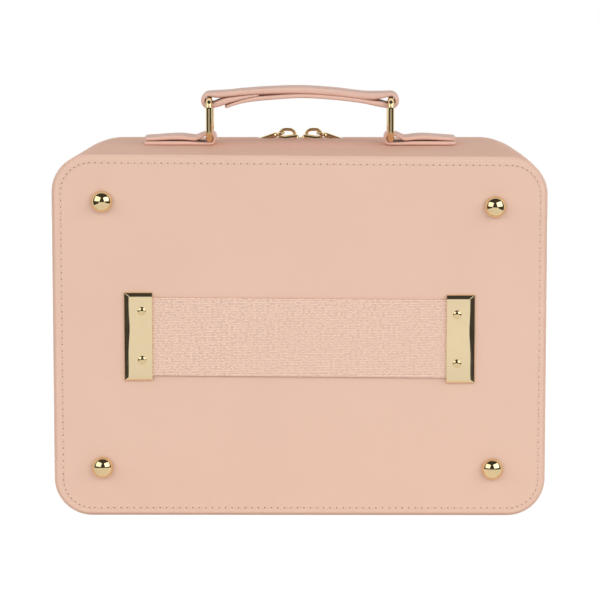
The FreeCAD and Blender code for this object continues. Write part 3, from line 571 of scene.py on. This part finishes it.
panelForm = dict(
    inset=1.0, edge=1.5, stitchIn=5.0, sunk=0.12,
    groove=0.05, grooveWide=0.6, crease=0.05, creaseIn=2.0, creaseWide=0.35, plump=0.08, plumpWide=1.2,
)
stitchFromEdge = panelForm["stitchIn"] - panelForm["inset"]


# Panel face: a rolled edge and a plump before the seam, less a crease and the seam's groove
def panelFace(a, b, d):
    f = panelForm
    roll = edgeRoll(d, f["edge"])
    groove = f["groove"] * bell(d, stitchFromEdge, f["grooveWide"])
    plump = f["plump"] * bell(d, stitchFromEdge / 2, f["plumpWide"])
    crease = f["crease"] * bell(d, f["creaseIn"], f["creaseWide"])
    return caseForm["panelThick"] * roll - groove - crease + plump * roll - f["sunk"]


# A panel: a slab on the case's outline, with the top corners of its depth
def makePanel(name, outer, face, way, body, node):
    inset = outer + panelForm["inset"]
    size = (caseForm["width"] - 2 * inset, caseForm["height"] - 2 * inset, caseForm["corner"] - inset)
    place = lambda a, b, h: settle(a, face + way * h, midZ + b)
    high = float(topCorner(face)) - inset
    piece = slab(name, *size, panelFace, level, place, panelLeather, 190, 150, 0.85, highCorner=high)
    put(piece, body, "panel_leather", node)


makePanel("backPanel", 0.0, backEdge, -1, "tray", "back_panel")
makePanel("frontPanel", caseForm["lidInset"], frontEdge, 1, "lid", "front_panel")
print("panels made")

# Rows of stitches: threads that rise between needle holes

stitchForm = dict(
    pitch=4.0, long=2.5, thread=0.33, rise=0.18, sink=0.25, clear=0.03, rows=11, around=7,
    hole=0.52, holeLong=1.15, cupWide=[0.0, 0.6, 1.0, 0.0], cupHigh=[0.02, 0.05, -0.12, -0.2], cupAround=8,
    backAside=0.7,  # the back's row is sewn a little to the right
)


# One row round the case: each thread is a tube whose height and girth follow powers of a half sine, and half
# way between two threads a needle hole is a shallow cup, painted dark as the shade inside it. On a face they
# rise along Y, on the wall along its normal
def stitchRow(name, inset, depthAt, outward, body, aside=0.0, surfaceInset=None):
    f = stitchForm
    count = int(round(caseWalkAt(4, depthAt)[3] / f["pitch"]))

    # Carries (along the row, across it, out of the surface) to every place of the row
    def lay(start, slide, side, up):
        spot, normal, along = (part[:, None, None] for part in caseWalkAt(count, depthAt, start)[:3])
        across, rise = (side - inset, outward * up) if surfaceInset is None else (up - surfaceInset, side)
        flat = spot + np.array([aside, 0]) + along * slide[..., None] + normal * across[..., None]
        return settle(flat[..., 0], depthAt + rise + 0 * flat[..., 0], flat[..., 1])

    t = np.concatenate([[0], np.linspace(0, 1, f["rows"] - 2), [1]])
    closed = np.concatenate([[0], np.ones(f["rows"] - 2), [0]])
    turn = np.arange(f["around"]) * 2 * math.pi / f["around"]
    arch = np.abs(np.sin(math.pi * t))[:, None]
    slim = closed[:, None] * f["thread"] * (0.45 + 0.55 * arch ** 0.6)
    lift = (f["rise"] + f["sink"]) * arch ** 0.7 - f["sink"]
    slide = ((t - 0.5) * f["long"])[:, None]
    threads = lay(0.0, slide, slim * np.cos(turn), lift + slim * np.sin(turn))
    quads = repeatQuads(count, f["rows"], f["around"])
    put(fillMesh(name, threads, quads, threadPink), body, "strap_leather")
    turn = np.arange(f["cupAround"]) * 2 * math.pi / f["cupAround"]
    wide = np.array(f["cupWide"])[:, None] * f["hole"]
    slide = wide * np.cos(turn) * f["holeLong"]
    holes = lay(f["pitch"] / 2, slide, wide * np.sin(turn), np.array(f["cupHigh"])[:, None] + 0 * slide)
    quads = repeatQuads(count, len(wide), f["cupAround"])
    put(fillMesh(name + "Holes", holes, quads, paintedHoleShade), body, "strap_leather")


faceHigh = float(panelFace(0, 0, stitchFromEdge)) + stitchForm["clear"]
lidStitchIn = caseForm["lidInset"] + panelForm["stitchIn"]
traySeamY, lidSeamY = caseForm["rimY"] - wallForm["seamIn"], caseForm["lidRimY"] + wallForm["lidSeamIn"]
stitchRow("backStitches", panelForm["stitchIn"], backEdge - faceHigh, -1, "tray", stitchForm["backAside"])
stitchRow("frontStitches", lidStitchIn, frontEdge + faceHigh, 1, "lid")
stitchRow("trayRimStitches", 0, traySeamY, 0, "tray", 0, wallForm["seamSunk"])
stitchRow("lidRimStitches", 0, lidSeamY, 0, "lid", 0, caseForm["lidInset"] + wallForm["lidSeamSunk"])
print("stitches made")

# Dome feet, plates, rivets and the elastic band on the back

footForm = dict(
    x=119.0, low=30.0, high=192.5, radius=6.45, height=6.6, neck=5.4, ball=7.1, sink=0.4,
    # set one by one, each foot stands (aside, above) of its square place
    handSet=dict(
        left=dict(low=(-1.2, 0.3), high=(-0.4, 1.0)), right=dict(low=(-1.3, -0.5), high=(-0.7, -2.2)),
    ),
)


# Foot: a short neck, a rounded skirt and a cap cut from a larger ball
def domeProfile():
    f = footForm
    low = math.acos(f["radius"] / f["ball"])
    bow = np.linspace(low, math.pi / 2, 26)
    cap = np.stack([f["ball"] * np.cos(bow), f["height"] - f["ball"] + f["ball"] * np.sin(bow)], -1)
    neck = [[0.0, -f["sink"]], [f["neck"], -f["sink"]], [f["neck"], 0.25]]
    skirt = [[f["radius"] - 0.25, 0.3], [f["radius"] - 0.02, 0.7], [f["radius"], 1.6]]
    return np.concatenate([neck, skirt, cap])


for side, x in (("left", -footForm["x"]), ("right", footForm["x"])):
    for row in ("low", "high"):
        aside, above = footForm["handSet"][side][row]
        spot = (x + aside, caseForm["backY"], footForm[row] + above)
        dome = turned(f"foot_{side}_{row}_dome", domeProfile(), spot, (0, -1, 0), goldBright, 64, 40)
        put(dome, "tray", "gold_metal", f"foot_{side}_{row}")

plateForm = dict(
    inner=89.0, width=17.6, height=54.4, corner=0.5, thick=2.8,
    lip=0.9, bevel=3.3, endBevel=2.3, crest=1.25, rimRound=0.35,
)
rivetForm = dict(x=95.6, spread=15.0, radius=2.6, height=1.2, sink=0.3, above=0.55, tip=0.3)
bandForm = dict(
    half=102.5, width=48.0, corner=0.4, thick=1.2, gap=0.2, drop=0.7, lean=0.0075,
    edgeRound=0.9, selvedge=0.2, selvedgeIn=1.6, selvedgeWide=0.35,
)


# The band and its plates sink a little to the right: a straight line of the place along them
def bandLean(x):
    return -bandForm["drop"] - bandForm["lean"] * x


# Plate height: a low lip, then a bevel that rounds over into the flat, on every side but the one the band
# enters. The polished crest wanders a little along the plate, by two sines
def plateHeight(way):
    f = plateForm

    def height(a, b, d):
        wander = 1 + 0.10 * np.sin(b / 8.5 + 0.6) + 0.05 * np.sin(b / 3.7)
        outer = (f["width"] / 2 - way * a) / (f["bevel"] * wander)
        ends = (f["height"] / 2 - np.abs(b)) / f["endBevel"]
        ramp = np.clip(np.minimum(outer, ends), 0, 1)
        soft = 1 - (1 - ramp) ** f["crest"]
        return (f["lip"] + (f["thick"] - f["lip"]) * soft) * (0.1 + 0.9 * edgeRoll(d, f["rimRound"]))
    return height


# Rivet head: a quarter of an ellipse, closed below
def rivetProfile():
    f = rivetForm
    curve = np.linspace(0, math.pi / 2, 12)
    head = np.stack([f["radius"] * np.cos(curve), f["height"] * np.sin(curve)], -1)
    return np.concatenate([[[0.0, -f["sink"]], [f["radius"], -f["sink"]]], head])


for side, way in (("left", -1), ("right", 1)):
    middle = way * (plateForm["inner"] + plateForm["width"] / 2)
    middleZ = midZ + bandLean(middle)
    place = lambda a, b, h: np.stack([middle + a, caseForm["backY"] - h, middleZ + b], -1)
    plate = slab(f"strapPlate_{side}", plateForm["width"], plateForm["height"], plateForm["corner"],
                 plateHeight(way), level, place, goldPlate, 90, 150, 0.5, 24)
    put(plate, "tray", "gold_metal", f"strap_plate_{side}")
    for row, sign in (("high", 1), ("low", -1)):
        above = rivetForm["above"] - rivetForm["tip"] * way + sign * rivetForm["spread"]
        spot = (way * rivetForm["x"], caseForm["backY"] - plateForm["thick"], middleZ + above)
        head = turned(f"strapRivet_{side}_{row}", rivetProfile(), spot, (0, -1, 0), goldBright, 32)
        put(head, "tray", "gold_metal", f"strap_rivets_{side}")


# Band face: a rounded edge with a fine groove inside it, over the gap behind the band
def bandFace(a, b, d):
    f = bandForm
    edge = f["thick"] * (0.55 + 0.45 * edgeRoll(d, f["edgeRound"]))
    return f["gap"] + edge - f["selvedge"] * bell(d, f["selvedgeIn"], f["selvedgeWide"])


# Band back: level, held off the panel by the gap
def bandBack(a, b, d):
    return 0 * d - bandForm["gap"]


bandPlace = lambda a, b, h: np.stack([a, caseForm["backY"] - h, midZ + bandLean(a) + b], -1)
trolleyBand = slab("trolleyBand", 2 * bandForm["half"], bandForm["width"], bandForm["corner"],
                   bandFace, bandBack, bandPlace, elasticWeave, 120, 140, 0.2, 60, True)
put(trolleyBand, "tray", "elastic_band", "trolley_band")
print("back hardware made")

# Carry handle

handleForm = dict(
    ringX=56.5, ringLow=226.15, ringHigh=249.75, wire=2.1, span=30.3, bend=4.0,
    halfWidth=11.4, strap=2.9, loop=3.85, crown=0.8, strapEnd=4.0,
    tab=2.6, tabTurn=2.0, tabLoop=3.2, tabEnd=3.0, tabPower=6.0,
)
ringHeight = handleForm["ringHigh"] - handleForm["ringLow"]
for side, x in (("left", -handleForm["ringX"]), ("right", handleForm["ringX"])):
    centre = (x, 0.0, (handleForm["ringLow"] + handleForm["ringHigh"]) / 2)
    loop = wireLoop(f"ring_{side}_wire", centre, handleForm["span"], ringHeight, handleForm["bend"],
                    handleForm["wire"], goldBright)
    put(loop, f"{side}_ring", "gold_metal", f"handle_ring_{side}")

# Each point holds (along the case, height over the ring's top bar, thickness of the leather there)
lowerRun = [(-46.2, -3.9, 2.0), (-38, -1.1, 2.3), (-30, 0.7, 3.0), (-20, 1.7, 3.0), (0, 2.9, 2.9),
            (20, 1.9, 2.9), (38, -0.2, 2.9), (46, -1.6, 3.4), (51, -2.4, 3.8)]
upperRun = [(51, 3.2, 3.9), (46, 2.85, 4.6), (41, 2.9, 4.6), (34, 3.6, 4.6), (20, 5.3, 4.5),
            (0, 6.5, 4.4), (-20, 6.1, 4.0), (-36, 5.1, 3.7), (-44, 4.25, 3.6), (-51, 3.75, 3.8)]
tuckRun = [(-51.5, -2.15, 4.0), (-46, -0.25, 4.1), (-38, 1.45, 2.9), (-31, 2.7, 1.9), (-26, 3.3, 1.3)]


# A turn of the strap round the bar of one ring: points on a circle at the given degrees
def ringTurn(way, angles):
    a = np.radians(angles)
    x = way * handleForm["ringX"] + handleForm["loop"] * np.cos(a)
    return list(zip(x, handleForm["loop"] * np.sin(a), np.full(len(a), handleForm["strap"])))


rightTurn = ringTurn(1, [-80, -45, -10, 25, 60, 90])
leftTurn = ringTurn(-1, [90, 125, 160, 195, 230, 262])
strapCurve = throughPoints(np.array(lowerRun + rightTurn + upperRun + leftTurn + tuckRun))
upperFrom = (len(lowerRun) + len(rightTurn)) * curveSteps
upperCount = len(upperRun) * curveSteps
padding = np.zeros(len(strapCurve))  # the upper layer is padded, fading out at both rings
padding[upperFrom:upperFrom + upperCount] = np.sin(np.linspace(0, math.pi, upperCount)) ** 0.35
strapPath, strapThick = strapCurve[:, :2] + np.array([0, handleForm["ringHigh"]]), strapCurve[:, 2]
strap = band("handleStrap", strapPath, strapThick, handleForm["halfWidth"], strapLeather,
             crown=handleForm["crown"] * padding, endRound=handleForm["strapEnd"])
put(strap, "handle", "strap_leather", "handle_strap")


# One folded tab, drawn outwards from the ring: base layer, turn round the wire, dip, plump hump, end.
# Each point holds (away from the ring, height over the case, thickness)
def tabCurve(way):
    t, thin, loop = handleForm["tab"], handleForm["tabTurn"], handleForm["tabLoop"]
    hub = handleForm["ringLow"] - caseForm["height"]
    base = [(40.0, t / 2, t), (30, t / 2, t), (15, t / 2, t), (5, thin / 2 + 0.02, thin)]
    angles = np.radians([-110, -140, -180, -220, -260, -290])
    turn = [(loop * math.cos(a), hub + loop * math.sin(a), thin) for a in angles]
    over = [(4.7, 5.9, 2.3), (8.6, 4.1, 2.7), (13, 4.4, 2.9), (18, 4.8, 3.1), (24, 4.75, 3.0),
            (31, 4.3, 2.8), (39.7, 3.85, t)]
    curve = throughPoints(np.array(base + turn + over))
    path = np.stack([way * (handleForm["ringX"] + curve[:, 0]), caseForm["height"] + curve[:, 1]], -1)
    return path, curve[:, 2]


for side, way in (("left", -1), ("right", 1)):
    path, thick = tabCurve(way)
    tab = band(f"handleTab_{side}", path, thick, handleForm["halfWidth"], strapLeather,
               power=handleForm["tabPower"], endRound=handleForm["tabEnd"])
    put(tab, "tray", "strap_leather", f"handle_tab_{side}")
print("handle made")

# Zip: teeth and tapes on both rows

zipForm = dict(
    inset=3.2, pitch=2.2, endZ=7.5, endClear=0.6,
    trayTeeth=(48.3, 51.35), lidTeeth=(53.7, 50.65),  # depths of root and tip
    wide=1.05, thick=2.2,
    # the rings of a tooth: share of the way to the tip, share of the width and of the thickness
    toothRun=[0.0, 0.0, 0.55, 0.88, 1.0, 1.0],
    toothWide=[0.0, 1.15, 0.8, 1.0, 0.7, 0.0], toothThick=[0.0, 1.0, 0.9, 0.95, 0.7, 0.0],
    trayTape=(37.35, 48.3), lidTape=(53.7, 64.65), tapeIn=2.85, tape=0.7, tapeSteps=1100,
)


# Row of teeth round the case: each is a stack of eight-sided rings, waisted behind its rounded head
def toothRow(name, shift, body, node, sides=8):
    f = zipForm
    root, tip = f[name]
    count = int(caseWalkAt(4, caseForm["zipY"])[3] / f["pitch"])
    spot, normal, along, _ = caseWalkAt(count, caseForm["zipY"], shift)
    keepRow = spot[:, 1] - normal[:, 1] * f["inset"] > f["endZ"] + f["endClear"]
    spot, normal, along = (part[keepRow][:, None, None] for part in (spot, normal, along))
    turn = (np.arange(sides) + 0.5) * 2 * math.pi / sides
    apothem = math.cos(math.pi / sides)
    a = np.array(f["toothWide"])[:, None] * f["wide"] / 2 * np.cos(turn) / apothem
    b = np.array(f["toothThick"])[:, None] * f["thick"] / 2 * np.sin(turn) / apothem - f["inset"]
    flat = spot + along * a[..., None] + normal * b[..., None]
    depth = root + np.array(f["toothRun"])[:, None] * (tip - root) + 0 * flat[..., 0]
    verts = np.stack([flat[..., 0], depth, flat[..., 1]], -1)
    quads = repeatQuads(len(spot), len(a), sides)
    put(fillMesh(name, verts, quads, goldBright, 50), body, "gold_metal", node)


toothRow("trayTeeth", 0.0, "tray", "tray_zip_teeth")
toothRow("lidTeeth", zipForm["pitch"] / 2, "lid", "lid_zip_teeth")


# Zip tape: a flat section carried round the outline from one end of the zip to the other, closed at both ends
def zipTape(name, body, node):
    f = zipForm
    fromY, toY = f[name]
    depth = np.array([fromY, toY, toY, fromY])
    inset = f["tapeIn"] + f["tape"] * np.array([0, 0, 1, 1])
    spot, normal, _, _ = caseWalk(f["tapeSteps"], depth)
    keepRow = spot[:, 0, 1] - normal[:, 0, 1] * f["inset"] > f["endZ"]
    edge = (spot - normal * inset[None, :, None])[keepRow]
    verts = np.stack([edge[..., 0], depth + 0 * edge[..., 0], edge[..., 1]], -1)
    caps = np.array([[0, 1, 2, 3], [0, 1, 2, 3]]) + [[0], [4 * (len(edge) - 1)]]
    quads = np.concatenate([gridQuads(len(edge), 4, False, True), caps])
    put(fillMesh(name, verts, quads, zipCloth, 40), body, "zip_tape", node)


zipTape("trayTape", "tray", "tray_zip_tape")
zipTape("lidTape", "lid", "lid_zip_tape")

# Boards and linings, layer by layer from the leather inwards

layerForm = dict(  # (inset from the outline, thickness, depth of the plate, depth where the wall ends)
    trayBoard=(1.3, 2.8, -72.1, 36.65), trayLining=(4.2, 0.8, -67.2, 44.0),
    lidBoard=(2.9, 2.8, 72.1, 65.35), lidLining=(5.8, 0.8, 69.2, 58.0),
)
for body in ("tray", "lid"):
    board = trayShell(f"{body}Board", *layerForm[f"{body}Board"], boardBrown)
    put(board, body, "fibre_board", f"{body}_board")
    lining = trayShell(f"{body}Lining", *layerForm[f"{body}Lining"], liningCloth)
    put(lining, body, "lining_cloth", f"{body}_lining")
print("zip tape, boards and linings made")

# Zip sliders and their pulls

sliderForm = dict(
    x=7.45, long=13.9, wide=9.4, corner=2.4, topZ=220.2, rise=4.0, rim=0.7, lowZ=215.4, lowThick=1.25,
    bridgeIn=3.9, bridgeOut=13.2, bridgeTop=226.95, bridgeSink=1.6, wire=2.1, half=1.3,
    postX=3.6, postLong=2.2, postWide=1.6, postRound=0.7, postHigh=4.2, postSink=0.6,
)
pullForm = dict(
    pivot=(11.0, 224.9), tilt=14.0, long=17.0, wide=7.0, thick=3.5, thin=0.65, bladeRound=2.4, edgeRound=1.1,
    eye=5.4, eyeRound=1.7, wire=1.05, lap=1.4, steps=72, around=14,
)


# Slider top: a shield that swells from its rim to a crown, higher at the end next to the other slider
def sliderCrown(way):
    f = sliderForm

    def height(a, b, d):
        inner = np.clip(0.5 - way * a / f["long"], 0, 1)
        return f["rim"] + (f["rise"] * (0.62 + 0.5 * inner) - f["rim"]) * (1 - np.exp(-d / 0.8))
    return height


# Slider sole: thickens in a straight line from its edge
def sliderSole(a, b, d):
    return sliderForm["lowThick"] * np.clip(0.6 + d, 0, 1)


# Slider: crown above the teeth, sole below them, a post between and a bridge bent through points
def makeSlider(side, way):
    f = sliderForm
    stand = lambda x, z: lambda a, b, h: np.stack([way * x + a, caseForm["zipY"] + b, z + h], -1)
    plan = (f["long"], f["wide"], f["corner"])
    over, under = stand(f["x"], f["topZ"]), stand(f["x"], f["lowZ"])
    crown = slab(f"slider_{side}_crown", *plan, sliderCrown(way), level, over, goldBright, 40, 34, 0.7)
    sole = slab(f"slider_{side}_sole", *plan, sliderSole, level, under, goldBright, 30, 26, 0.5)
    inner, outer, low, top = f["bridgeIn"], f["bridgeOut"], f["topZ"] + f["bridgeSink"], f["bridgeTop"]
    legs = np.array([(inner, low), (inner, low + 3.2), (inner + 0.9, top - 0.9), (inner + 2.6, top),
                     (outer - 2.6, top), (outer - 0.7, top - 1.2), (outer, low + 3.0), (outer, low)])
    path = throughPoints(legs * [way, 1])
    bridge = band(f"slider_{side}_bridge", path, np.full(len(path), f["wire"]), f["half"], goldBright,
                  caseForm["zipY"], 3.2)
    post = slab(f"slider_{side}_post", f["postLong"], f["postWide"], f["postRound"],
                lambda a, b, d: 0 * d + f["postHigh"], level, stand(f["postX"], f["lowZ"] + f["postSink"]),
                goldBright, 16, 14, 0.5)
    for piece in (crown, sole, bridge, post):
        put(piece, f"{side}_slider", "gold_metal", f"zip_slider_{side}")


# Pull: an eye bent round the bridge and a blade that thins towards its tip, both tilted about the pivot
def makePull(side, way):
    f = pullForm
    cosTilt, sinTilt = math.cos(math.radians(f["tilt"])), math.sin(math.radians(f["tilt"]))

    # Carries (along the pull, across it, out of it) to its tilted place
    def place(p, q, h):
        x = way * (f["pivot"][0] + p * cosTilt + h * sinTilt)
        return np.stack([x, caseForm["zipY"] + q, f["pivot"][1] - p * sinTilt + h * cosTilt], -1)

    wire, bend, lapped = f["wire"], f["eyeRound"], f["eye"] - f["lap"]
    walk = roundedWalk(f["eye"] - 2 * wire + 0.9, f["wide"] - 2 * wire, bend, bend, f["steps"])
    spot, normal = walk[0][:, 0], walk[1][:, 0]
    turn = np.arange(f["around"]) * 2 * math.pi / f["around"]
    p = f["eye"] / 2 - 0.5 + spot[:, :1] + normal[:, :1] * wire * np.cos(turn)
    q = spot[:, 1:] + normal[:, 1:] * wire * np.cos(turn)
    verts = place(p, q, wire * 0.9 * np.sin(turn) + 0 * p)
    eye = fillMesh(f"pull_{side}_eye", verts, gridQuads(f["steps"], f["around"], True, True), goldBright)
    long = f["long"] - lapped

    # Half the blade's thickness: thinner along it in a straight line, and rounded at its edge
    def swell(a, b, d):
        taper = 1 - f["thin"] * (a / long + 0.5)
        return f["thick"] / 2 * taper * (0.35 + 0.65 * edgeRoll(d, f["edgeRound"]))

    blade = slab(f"pull_{side}_blade", long, f["wide"], f["bladeRound"], swell, swell,
                 lambda a, b, h: place(lapped + long / 2 + a, b, h), goldBright, 44, 32, 0.7)
    for piece in (eye, blade):
        put(piece, f"{side}_pull", "gold_metal", f"zip_pull_{side}")


for side, way in (("left", -1), ("right", 1)):
    makeSlider(side, way)
    makePull(side, way)

# Hinge: one leather strip between tray and lid

hingeForm = dict(half=122.0, fromY=37.4, toY=64.6, z=3.3, thick=0.9, corner=0.6, edgeRound=0.4)
hingeMid = (hingeForm["fromY"] + hingeForm["toY"]) / 2
hingeLong = hingeForm["toY"] - hingeForm["fromY"]


# Half the strip's thickness, rounded at its edge
def hingeFace(a, b, d):
    return hingeForm["thick"] / 2 * (0.2 + 0.8 * edgeRoll(d, hingeForm["edgeRound"])) + 0 * a


hingePlace = lambda a, b, h: np.stack([a, hingeMid + b, hingeForm["z"] + h], -1)
hinge = slab("hingeLeather", 2 * hingeForm["half"], hingeLong, hingeForm["corner"],
             hingeFace, hingeFace, hingePlace, wallLeather, 80, 60, 0.2)
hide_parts("hinge_strip", "hinge_strip_lid_half")
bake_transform(hinge)
print("zip and hinge made")

# Padded dividers

dividerForm = dict(
    thick=6.0, depth=80.0, corner=3.0, backY=-66.1, shelf=100.0, shelfLong=289.4,
    upper=50.0, upperZ=160.0, upperLong=113.4, lower=72.0, lowerZ=51.0, lowerLong=91.4,
)
dividerMidY = dividerForm["backY"] + dividerForm["depth"] / 2


# Half a divider's thickness: swells from its edge as an exponential that levels out
def dividerPuff(a, b, d):
    return dividerForm["thick"] / 2 * (0.55 + 0.45 * (1 - np.exp(-d / 1.6)) ** 0.7)


# A padded divider: a slab that swells to both sides
def dividerPad(name, long, place, node):
    pad = slab(name, long, dividerForm["depth"], dividerForm["corner"],
               dividerPuff, dividerPuff, place, dividerCloth, 60, 40, 0.85)
    put(pad, "tray", "divider_cloth", node)


# Place of an upright divider: its length stands along Z and its thickness along X
def upright(x, z):
    return lambda a, b, h: np.stack([x + h, dividerMidY + b, z + a], -1)


shelfPlace = lambda a, b, h: np.stack([a, dividerMidY + b, dividerForm["shelf"] + h], -1)
dividerPad("padLong", dividerForm["shelfLong"], shelfPlace, "divider_long")
for name, way in (("left", -1), ("right", 1)):
    place = upright(way * dividerForm["upper"], dividerForm["upperZ"])
    dividerPad(f"padUpper_{name}", dividerForm["upperLong"], place, f"divider_upper_{name}")
for name, way in (("left", -1), ("middle", 0), ("right", 1)):
    place = upright(way * dividerForm["lower"], dividerForm["lowerZ"])
    dividerPad(f"padLower_{name}", dividerForm["lowerLong"], place, f"divider_lower_{name}")
print("dividers made")

# Finishes of the solids that stay as they are

finishes = {
    "back_foam": foamPale, "mirror_glass": mirrorSilver, "mirror_bezel": bezelSatin,
    "tray_zip_stops": goldBright, "lid_zip_stops": goldBright,
    "foot_washers": steelSatin, "strap_washers": steelSatin,
    "handle_rivets_left": steelSatin, "handle_rivets_right": steelSatin,
    "handle_backing_plate_left": steelSatin, "handle_backing_plate_right": steelSatin,
}
for node, material in finishes.items():
    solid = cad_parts[node]
    solid.data.materials.clear()
    solid.data.materials.append(material)
print("solids finished")

# Floor, light and camera, in metres

# mirrored and cloud set the strength and the scale of the floor's painted glow, which only reflections see
floorForm = dict(
    z=-0.0005, half=0.5, back=1.6, neck=-0.9, front=-4.2, frontHalf=2.6,
    shown=0.955, faint=0.14, mirrored=(0.10, 0.18), cloud=5.0,
)
lightForm = dict(ambient=1.00, fill=0.31, room=0.05, sweepFade=0.12, belowFade=-0.05)


# The share of rays that a mirror or a glass sends out: the greater of both
def mirroredRays(tree, rays):
    return reckon(tree, "MAXIMUM", rays.outputs["Is Glossy Ray"], rays.outputs["Is Transmission Ray"])


# A mix of two shaders by a share, or their sum where no share is given
def joinShaders(tree, first, second, share=None):
    node = add(tree, "ShaderNodeAddShader" if share is None else "ShaderNodeMixShader")
    sources = [first, second] if share is None else [share, first, second]
    for source, socket in zip(sources, node.inputs):
        tree.links.new(source, socket)
    return node.outputs["Shader"]


# A grey of one level
def grey(value):
    return (value, value, value, 1)


f = floorForm
floorMesh = bpy.data.meshes.new("floor")
floorEdges = [(-f["frontHalf"], f["front"]), (f["frontHalf"], f["front"]), (f["half"], f["neck"]),
              (-f["half"], f["neck"]), (f["half"], f["back"]), (-f["half"], f["back"])]
floorMesh.from_pydata([(x, y, f["z"]) for x, y in floorEdges], [], [(0, 1, 2, 3), (3, 2, 4, 5)])
floor = bpy.data.objects.new("floor", floorMesh)
bpy.context.scene.collection.objects.link(floor)
floorPaint, tree, shader = blank("floorPaint", (0.8, 0.8, 0.8), 0.9)
shader.inputs["Specular IOR Level"].default_value = 0.0
shader.inputs["Emission Color"].default_value = grey(1)
rays = add(tree, "ShaderNodeLightPath")
# the floor glows in soft clouds for mirrored rays only: painted light that the polished metal shows as soft
# bands
clouds = noise(tree, objectCoords(tree), f["cloud"], 1.0)
glow = reckon(tree, "MULTIPLY", mirroredRays(tree, rays), span(tree, clouds, 0.35, 0.65, *f["mirrored"]))
tree.links.new(glow, shader.inputs["Emission Strength"])
# the camera sees the white world through the floor plus the floor's own light and shadow,
# and a lid that swings below it still shows
through = add(tree, "ShaderNodeBsdfTransparent", Color=grey(f["shown"]))
faint = add(tree, "ShaderNodeBsdfDiffuse", Color=grey(f["faint"]))
clear = add(tree, "ShaderNodeBsdfTransparent")
seen = joinShaders(tree, through.outputs["BSDF"], faint.outputs["BSDF"])
seen = joinShaders(tree, shader.outputs["BSDF"], seen, rays.outputs["Is Camera Ray"])
seen = joinShaders(tree, seen, clear.outputs["BSDF"], rays.outputs["Is Shadow Ray"])
tree.links.new(seen, tree.nodes["Material Output"].inputs["Surface"])
floorMesh.materials.append(floorPaint)

f = lightForm
world = bpy.data.worlds.new("studio")
bpy.context.scene.world = world
world.use_nodes = True
tree = world.node_tree
tree.nodes.clear()
white = add(tree, "ShaderNodeBackground", Strength=1.0, Color=grey(1))
room = add(tree, "ShaderNodeBackground", Color=(1, 0.985, 0.97, 1))
rays = add(tree, "ShaderNodeLightPath")
axes = add(tree, "ShaderNodeSeparateXYZ")
tree.links.new(add(tree, "ShaderNodeTexCoord").outputs["Generated"], axes.inputs["Vector"])
mirrored = mirroredRays(tree, rays)
# the white sweep stands behind the case
sweep = reckon(tree, "MULTIPLY", mirrored, span(tree, axes.outputs["Y"], 0.0, f["sweepFade"], 0.0, 1.0))
shown = reckon(tree, "MAXIMUM", rays.outputs["Is Camera Ray"], sweep)
# soft fill: strongest from the camera's side, none from below the floor
front = span(tree, axes.outputs["Y"], -1.0, 0.0, 1.0, 0.0)
fill = span(tree, reckon(tree, "MULTIPLY", front, front), 0.0, 1.0, f["fill"], f["ambient"])
fill = reckon(tree, "MULTIPLY", fill, span(tree, axes.outputs["Z"], f["belowFade"], 0.0, 0.0, 1.0))
dim = add(tree, "ShaderNodeMix", data_type="FLOAT")
tree.links.new(mirrored, dim.inputs[0])
tree.links.new(fill, dim.inputs[2])
dim.inputs[3].default_value = f["room"]
tree.links.new(dim.outputs[0], room.inputs["Strength"])
seen = joinShaders(tree, room.outputs["Background"], white.outputs["Background"], shown)
tree.links.new(seen, add(tree, "ShaderNodeOutputWorld").inputs["Surface"])

lampForm = dict(
    leftBox=dict(spot=(-1.05, -0.975, 0.82), wide=1.56, tall=1.14, power=8.4),
    rightBox=dict(spot=(1.05, -0.975, 0.82), wide=1.56, tall=1.14, power=10.9),
    backLeft=dict(spot=(-0.9, 1.75, 0.34), wide=1.5, tall=0.6, power=13.0),
    backRight=dict(spot=(0.9, 1.75, 0.34), wide=1.5, tall=0.6, power=13.0),
)
lampTarget = (0, 0, 0.12)


# Turn and place as one matrix: its columns are the directions to the right, up and back, and the spot
def standing(right, up, back, spot):
    return Matrix(np.vstack([np.stack([right, up, back, spot], -1), [0, 0, 0, 1]]).tolist())


# A matrix that looks from a spot at a target, level with the floor
def looking(spot, target):
    back = np.array(spot) - np.array(target)
    back /= np.linalg.norm(back)
    side = np.cross([0, 0, 1], back)
    side /= np.linalg.norm(side)
    return standing(side, np.cross(back, side), back, spot)


for name, f in lampForm.items():
    light = bpy.data.lights.new(name, "AREA")
    light.shape, light.size, light.size_y, light.energy = "RECTANGLE", f["wide"], f["tall"], f["power"]
    lamp = bpy.data.objects.new(name, light)
    bpy.context.scene.collection.objects.link(lamp)
    lamp.visible_camera = False
    lamp.visible_glossy = not name.startswith("back")  # the lamps behind would only shine on the top
    lamp.matrix_world = looking(f["spot"], lampTarget)

cameraForm = dict(
    away=1849.63, across=11.24, high=384.24, pitch=0.1348, yaw=-0.0059, roll=-0.0004, lens=184.654,
)
f = cameraForm
sinPitch, cosPitch = math.sin(f["pitch"]), math.cos(f["pitch"])
sinYaw, cosYaw = math.sin(f["yaw"]), math.cos(f["yaw"])
sinRoll, cosRoll = math.sin(f["roll"]), math.cos(f["roll"])
ahead = np.array([cosPitch * sinYaw, cosPitch * cosYaw, -sinPitch])
levelRight = np.array([cosYaw, -sinYaw, 0])
levelUp = np.array([sinPitch * sinYaw, sinPitch * cosYaw, cosPitch])
right, up = cosRoll * levelRight + sinRoll * levelUp, cosRoll * levelUp - sinRoll * levelRight
camData = bpy.data.cameras.new("camera")
camData.lens, camData.sensor_width = f["lens"], 36.0
camData.clip_start, camData.clip_end = 0.05, 50
camera = bpy.data.objects.new("camera", camData)
bpy.context.scene.collection.objects.link(camera)
eye = np.array([f["across"], caseForm["backY"] - f["away"], f["high"]]) * mm
camera.matrix_world = standing(right, up, -ahead, eye)
bpy.context.scene.camera = camera
bpy.context.scene.view_settings.view_transform = "Standard"
print("stage set")

bpy.context.view_layer.update()
